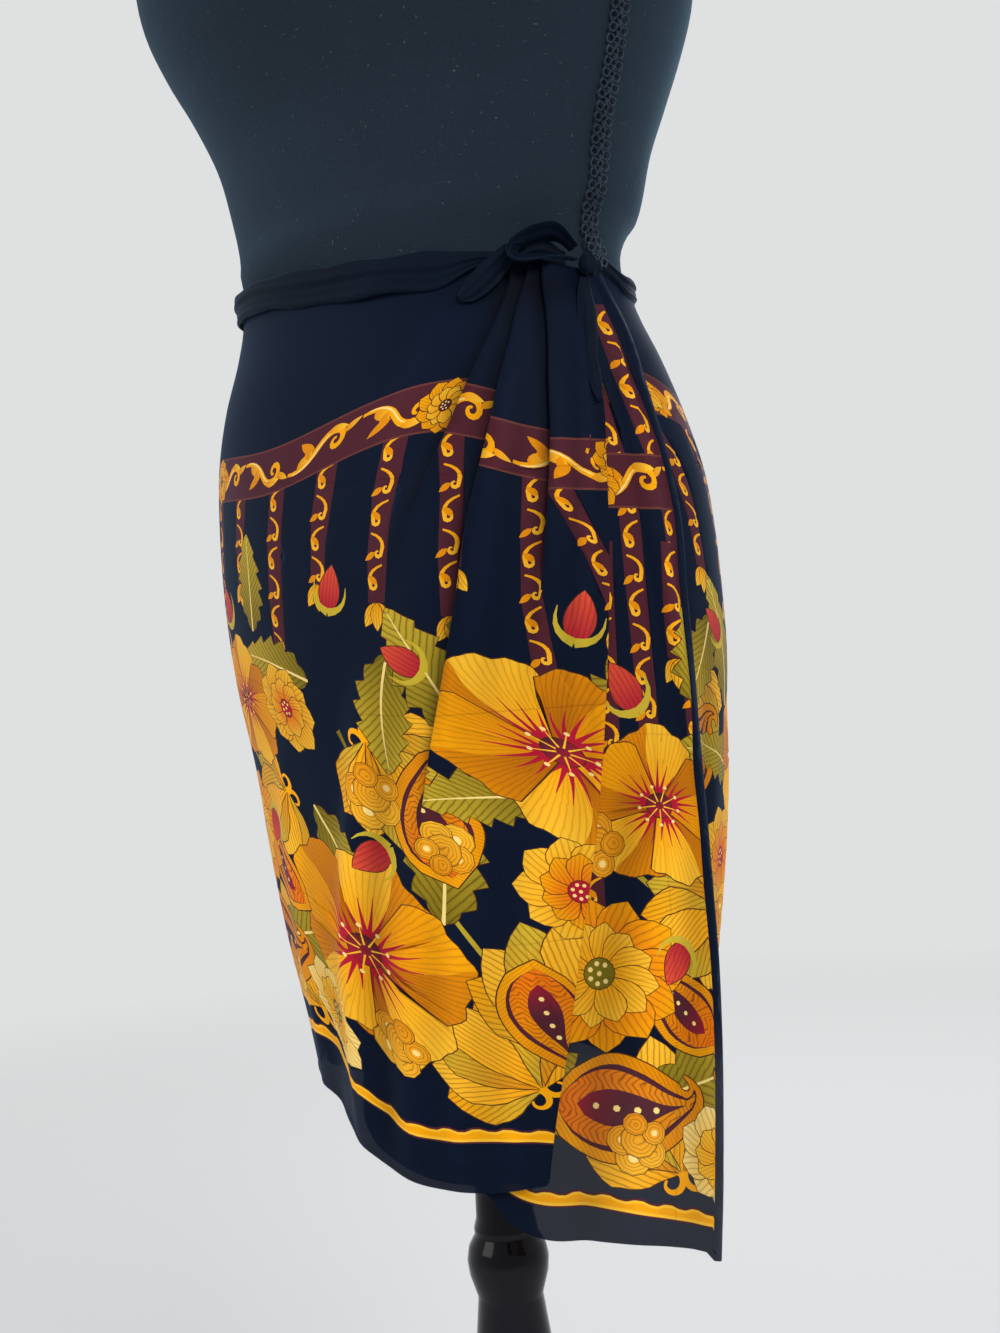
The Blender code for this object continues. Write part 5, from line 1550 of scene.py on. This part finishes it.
def bunched_strip(name, path, turns, widths, thick, folds, drifts, curl=0.0):
    """A strip of soft cloth along a path of (angle, height, level) rows, in lengthwise folds that wander.

    turns tips the strip about its path; folds is a list of (folds across, depth), which drifts sets off by an
    amount of its own; curl bends the edges under."""
    points = on_skirt(*path.T)
    out = (on_skirt(path[:, 0], path[:, 1], path[:, 2] + 0.001) - points) / 0.001
    along = np.gradient(points, axis=0)
    along /= np.linalg.norm(along, axis=1)[:, None]
    across = np.cross(along, out)
    across /= np.linalg.norm(across, axis=1)[:, None]
    out = np.cross(across, along)
    turn = np.radians(turns)[:, None]
    wide = across * np.cos(turn) + out * np.sin(turn)
    face = out * np.cos(turn) - across * np.sin(turn)
    travel = lengths(points)
    u = np.concatenate([np.linspace(-1, 1, STRIP_SIDES), np.linspace(1, -1, STRIP_SIDES)[1:-1]])
    top = np.concatenate([np.ones(STRIP_SIDES), -np.ones(STRIP_SIDES - 2)])
    rings = []
    for i, width in enumerate(widths):
        drift = sum(math.sin(travel[i] * rate + drifts * 2.1 + rate) for rate in (55.0, 21.0)) * 0.7
        ridge = sum(depth * np.cos(math.pi * count * u * 0.5 + drift * (1 + 0.35 * k) + drifts * (k + 1.7))
                    for k, (count, depth) in enumerate(folds))
        body = thick / 2 * np.sqrt(np.clip(1 - np.abs(u) ** 6, 0.12, 1))
        bend = curl * (u ** 2) * width
        lift = top * body + ridge * np.clip(1.1 - np.abs(u) ** 4, 0.15, 1) * min(1.0, width / 0.010) - bend
        edge = u * width / 2 * (1 + 0.05 * math.sin(travel[i] * 140 + drifts) * np.abs(u))
        rings.append(points[i] + wide[i] * edge[:, None] + face[i] * lift[:, None])
    return put(name, rings_mesh(name, rings), black_georgette)


def smooth_path(rows, samples):
    """Rows of numbers, evenly resampled on a curve through them."""
    rows = np.array(rows, dtype=float)
    knots = np.linspace(0, 1, len(rows))
    at = np.linspace(0, 1, samples)
    slopes = np.gradient(rows, knots, axis=0)
    k = np.clip(np.searchsorted(knots, at, side="right") - 1, 0, len(rows) - 2)
    h = knots[1]
    t = ((at - knots[k]) / h)[:, None]
    return ((1 + 2 * t) * (1 - t) ** 2 * rows[k] + t * (1 - t) ** 2 * h * slopes[k]
            + t ** 2 * (3 - 2 * t) * rows[k + 1] + t ** 2 * (t - 1) * h * slopes[k + 1])


def tie_piece(piece, node, path):
    """Fastens a strip and works out the length of its path, which is the length of its flat cut; the cut is as
    wide as the strip opens out.
    """
    fasten(piece, "black_georgette", node)
    float(lengths(on_skirt(*path.T))[-1])


def waist_path(angle, upper, width, level):
    """Path of the tie's middle under its upper edge, which wavers a little."""
    return np.column_stack([angle, upper - width / 2 - 0.0006 * np.sin(np.radians(angle * 7)), level])


angle = np.arange(-89.9, 77.01, 0.55)
under_loop = np.exp(-((angle - 68.5) / 5.5) ** 2)
upper = skirt_top(angle) + TIE_RISE + 0.0085 * under_loop
width = 0.0200 * (1 - 0.20 * ease(15, -30, angle)) * (1 - 0.62 * ease(38, 54, angle) * (1 - 0.95 * under_loop))
level = 0.0036 + PLY * ease(-62, -31, angle) * (1 - ease(53, 59, angle))
level += 0.0008 * np.exp(-((angle - 24) / 9) ** 2)
path = waist_path(angle, upper, width, level)
waist_front = bunched_strip("tie_waist_front", path, -5 + 10 * np.exp(-((angle - 26) / 8) ** 2), width,
                            thick=0.0014, folds=[(3.0, 0.00050), (7.0, 0.00028)], drifts=1.3, curl=0.010)
tie_piece(waist_front, "tie_front", path)

angle = np.arange(87.8, 269.9, 0.55)
narrow = ease(176, 130, angle)
upper = skirt_top(angle) + TIE_RISE - 0.0064 * narrow * ease(90, 106, angle)
width = 0.0185 * (1 - 0.42 * narrow) * (1 - 0.35 * ease(108, 96, angle)) + 0.0015 * ease(240, 270, angle)
path = waist_path(angle, upper, width, 0.0032 - 0.0008 * narrow + 0.0002 * ease(240, 270, angle))
waist_back = bunched_strip("tie_waist_back", path, -5 + 0 * angle, width,
                           thick=0.0014, folds=[(3.0, 0.00045), (7.0, 0.00025)], drifts=2.2, curl=0.010)
tie_piece(waist_back, "tie_back", path)

loop = smooth_path([(a, z, LOOP_LEVEL) for a, z in LOOP_PATH], 90)
share = np.linspace(0, 1, 90)
turns = 80.0 - 20 * ease(0.05, 0.25, share) * ease(0.95, 0.7, share)
width = 0.0150 * (0.55 + 0.45 * ease(0.0, 0.25, share) * ease(1.0, 0.75, share))
bow_loop = bunched_strip("tie_bow_loop_cloth", loop, turns, width,
                         thick=0.0012, folds=[(2.6, 0.00045), (5.0, 0.00030)], drifts=0.4)
tie_piece(bow_loop, "tie_bow_loop", loop)

rows = smooth_path(END_ACROSS, 60)
end_across = bunched_strip("tie_end_across_cloth", rows[:, :3], rows[:, 4], rows[:, 3],
                           thick=0.0014, folds=[(2.4, 0.00055), (5.0, 0.00030)], drifts=3.1, curl=0.02)
tie_piece(end_across, "tie_end_across", rows[:, :3])
rows = smooth_path(END_DOWN, 90)
end_down = bunched_strip("tie_end_down_cloth", rows[:, :3], rows[:, 4] + 8 * np.sin(np.linspace(0, 9, 90)),
                         rows[:, 3], thick=0.0016, folds=[(2.4, 0.00050), (5.0, 0.00025)], drifts=4.4, curl=0.02)
tie_piece(end_down, "tie_end_down", rows[:, :3])

knot_rings = []
turn = np.radians(np.arange(0, 360, 10))
for share in np.linspace(-1, 1, 34):
    girth = math.sqrt(max(1 - share ** 2, 0.02)) * (1 + 0.07 * math.cos(share * 11))
    ruck = girth * (1 + 0.055 * np.sin(3 * turn + share * 5.0) + 0.035 * np.sin(7 * turn - share * 9.0))
    knot_rings.append(on_skirt(KNOT[0] + share * KNOT_LONG + 0.18 * np.sin(turn),
                               KNOT[1] + KNOT_HIGH * ruck * np.sin(turn),
                               KNOT[2] + KNOT_DEEP * ruck * np.cos(turn)))
knot = put("tie_knot_cloth", rings_mesh("tie_knot_cloth", knot_rings), black_georgette)
fasten(knot, "black_georgette", "tie_knot")
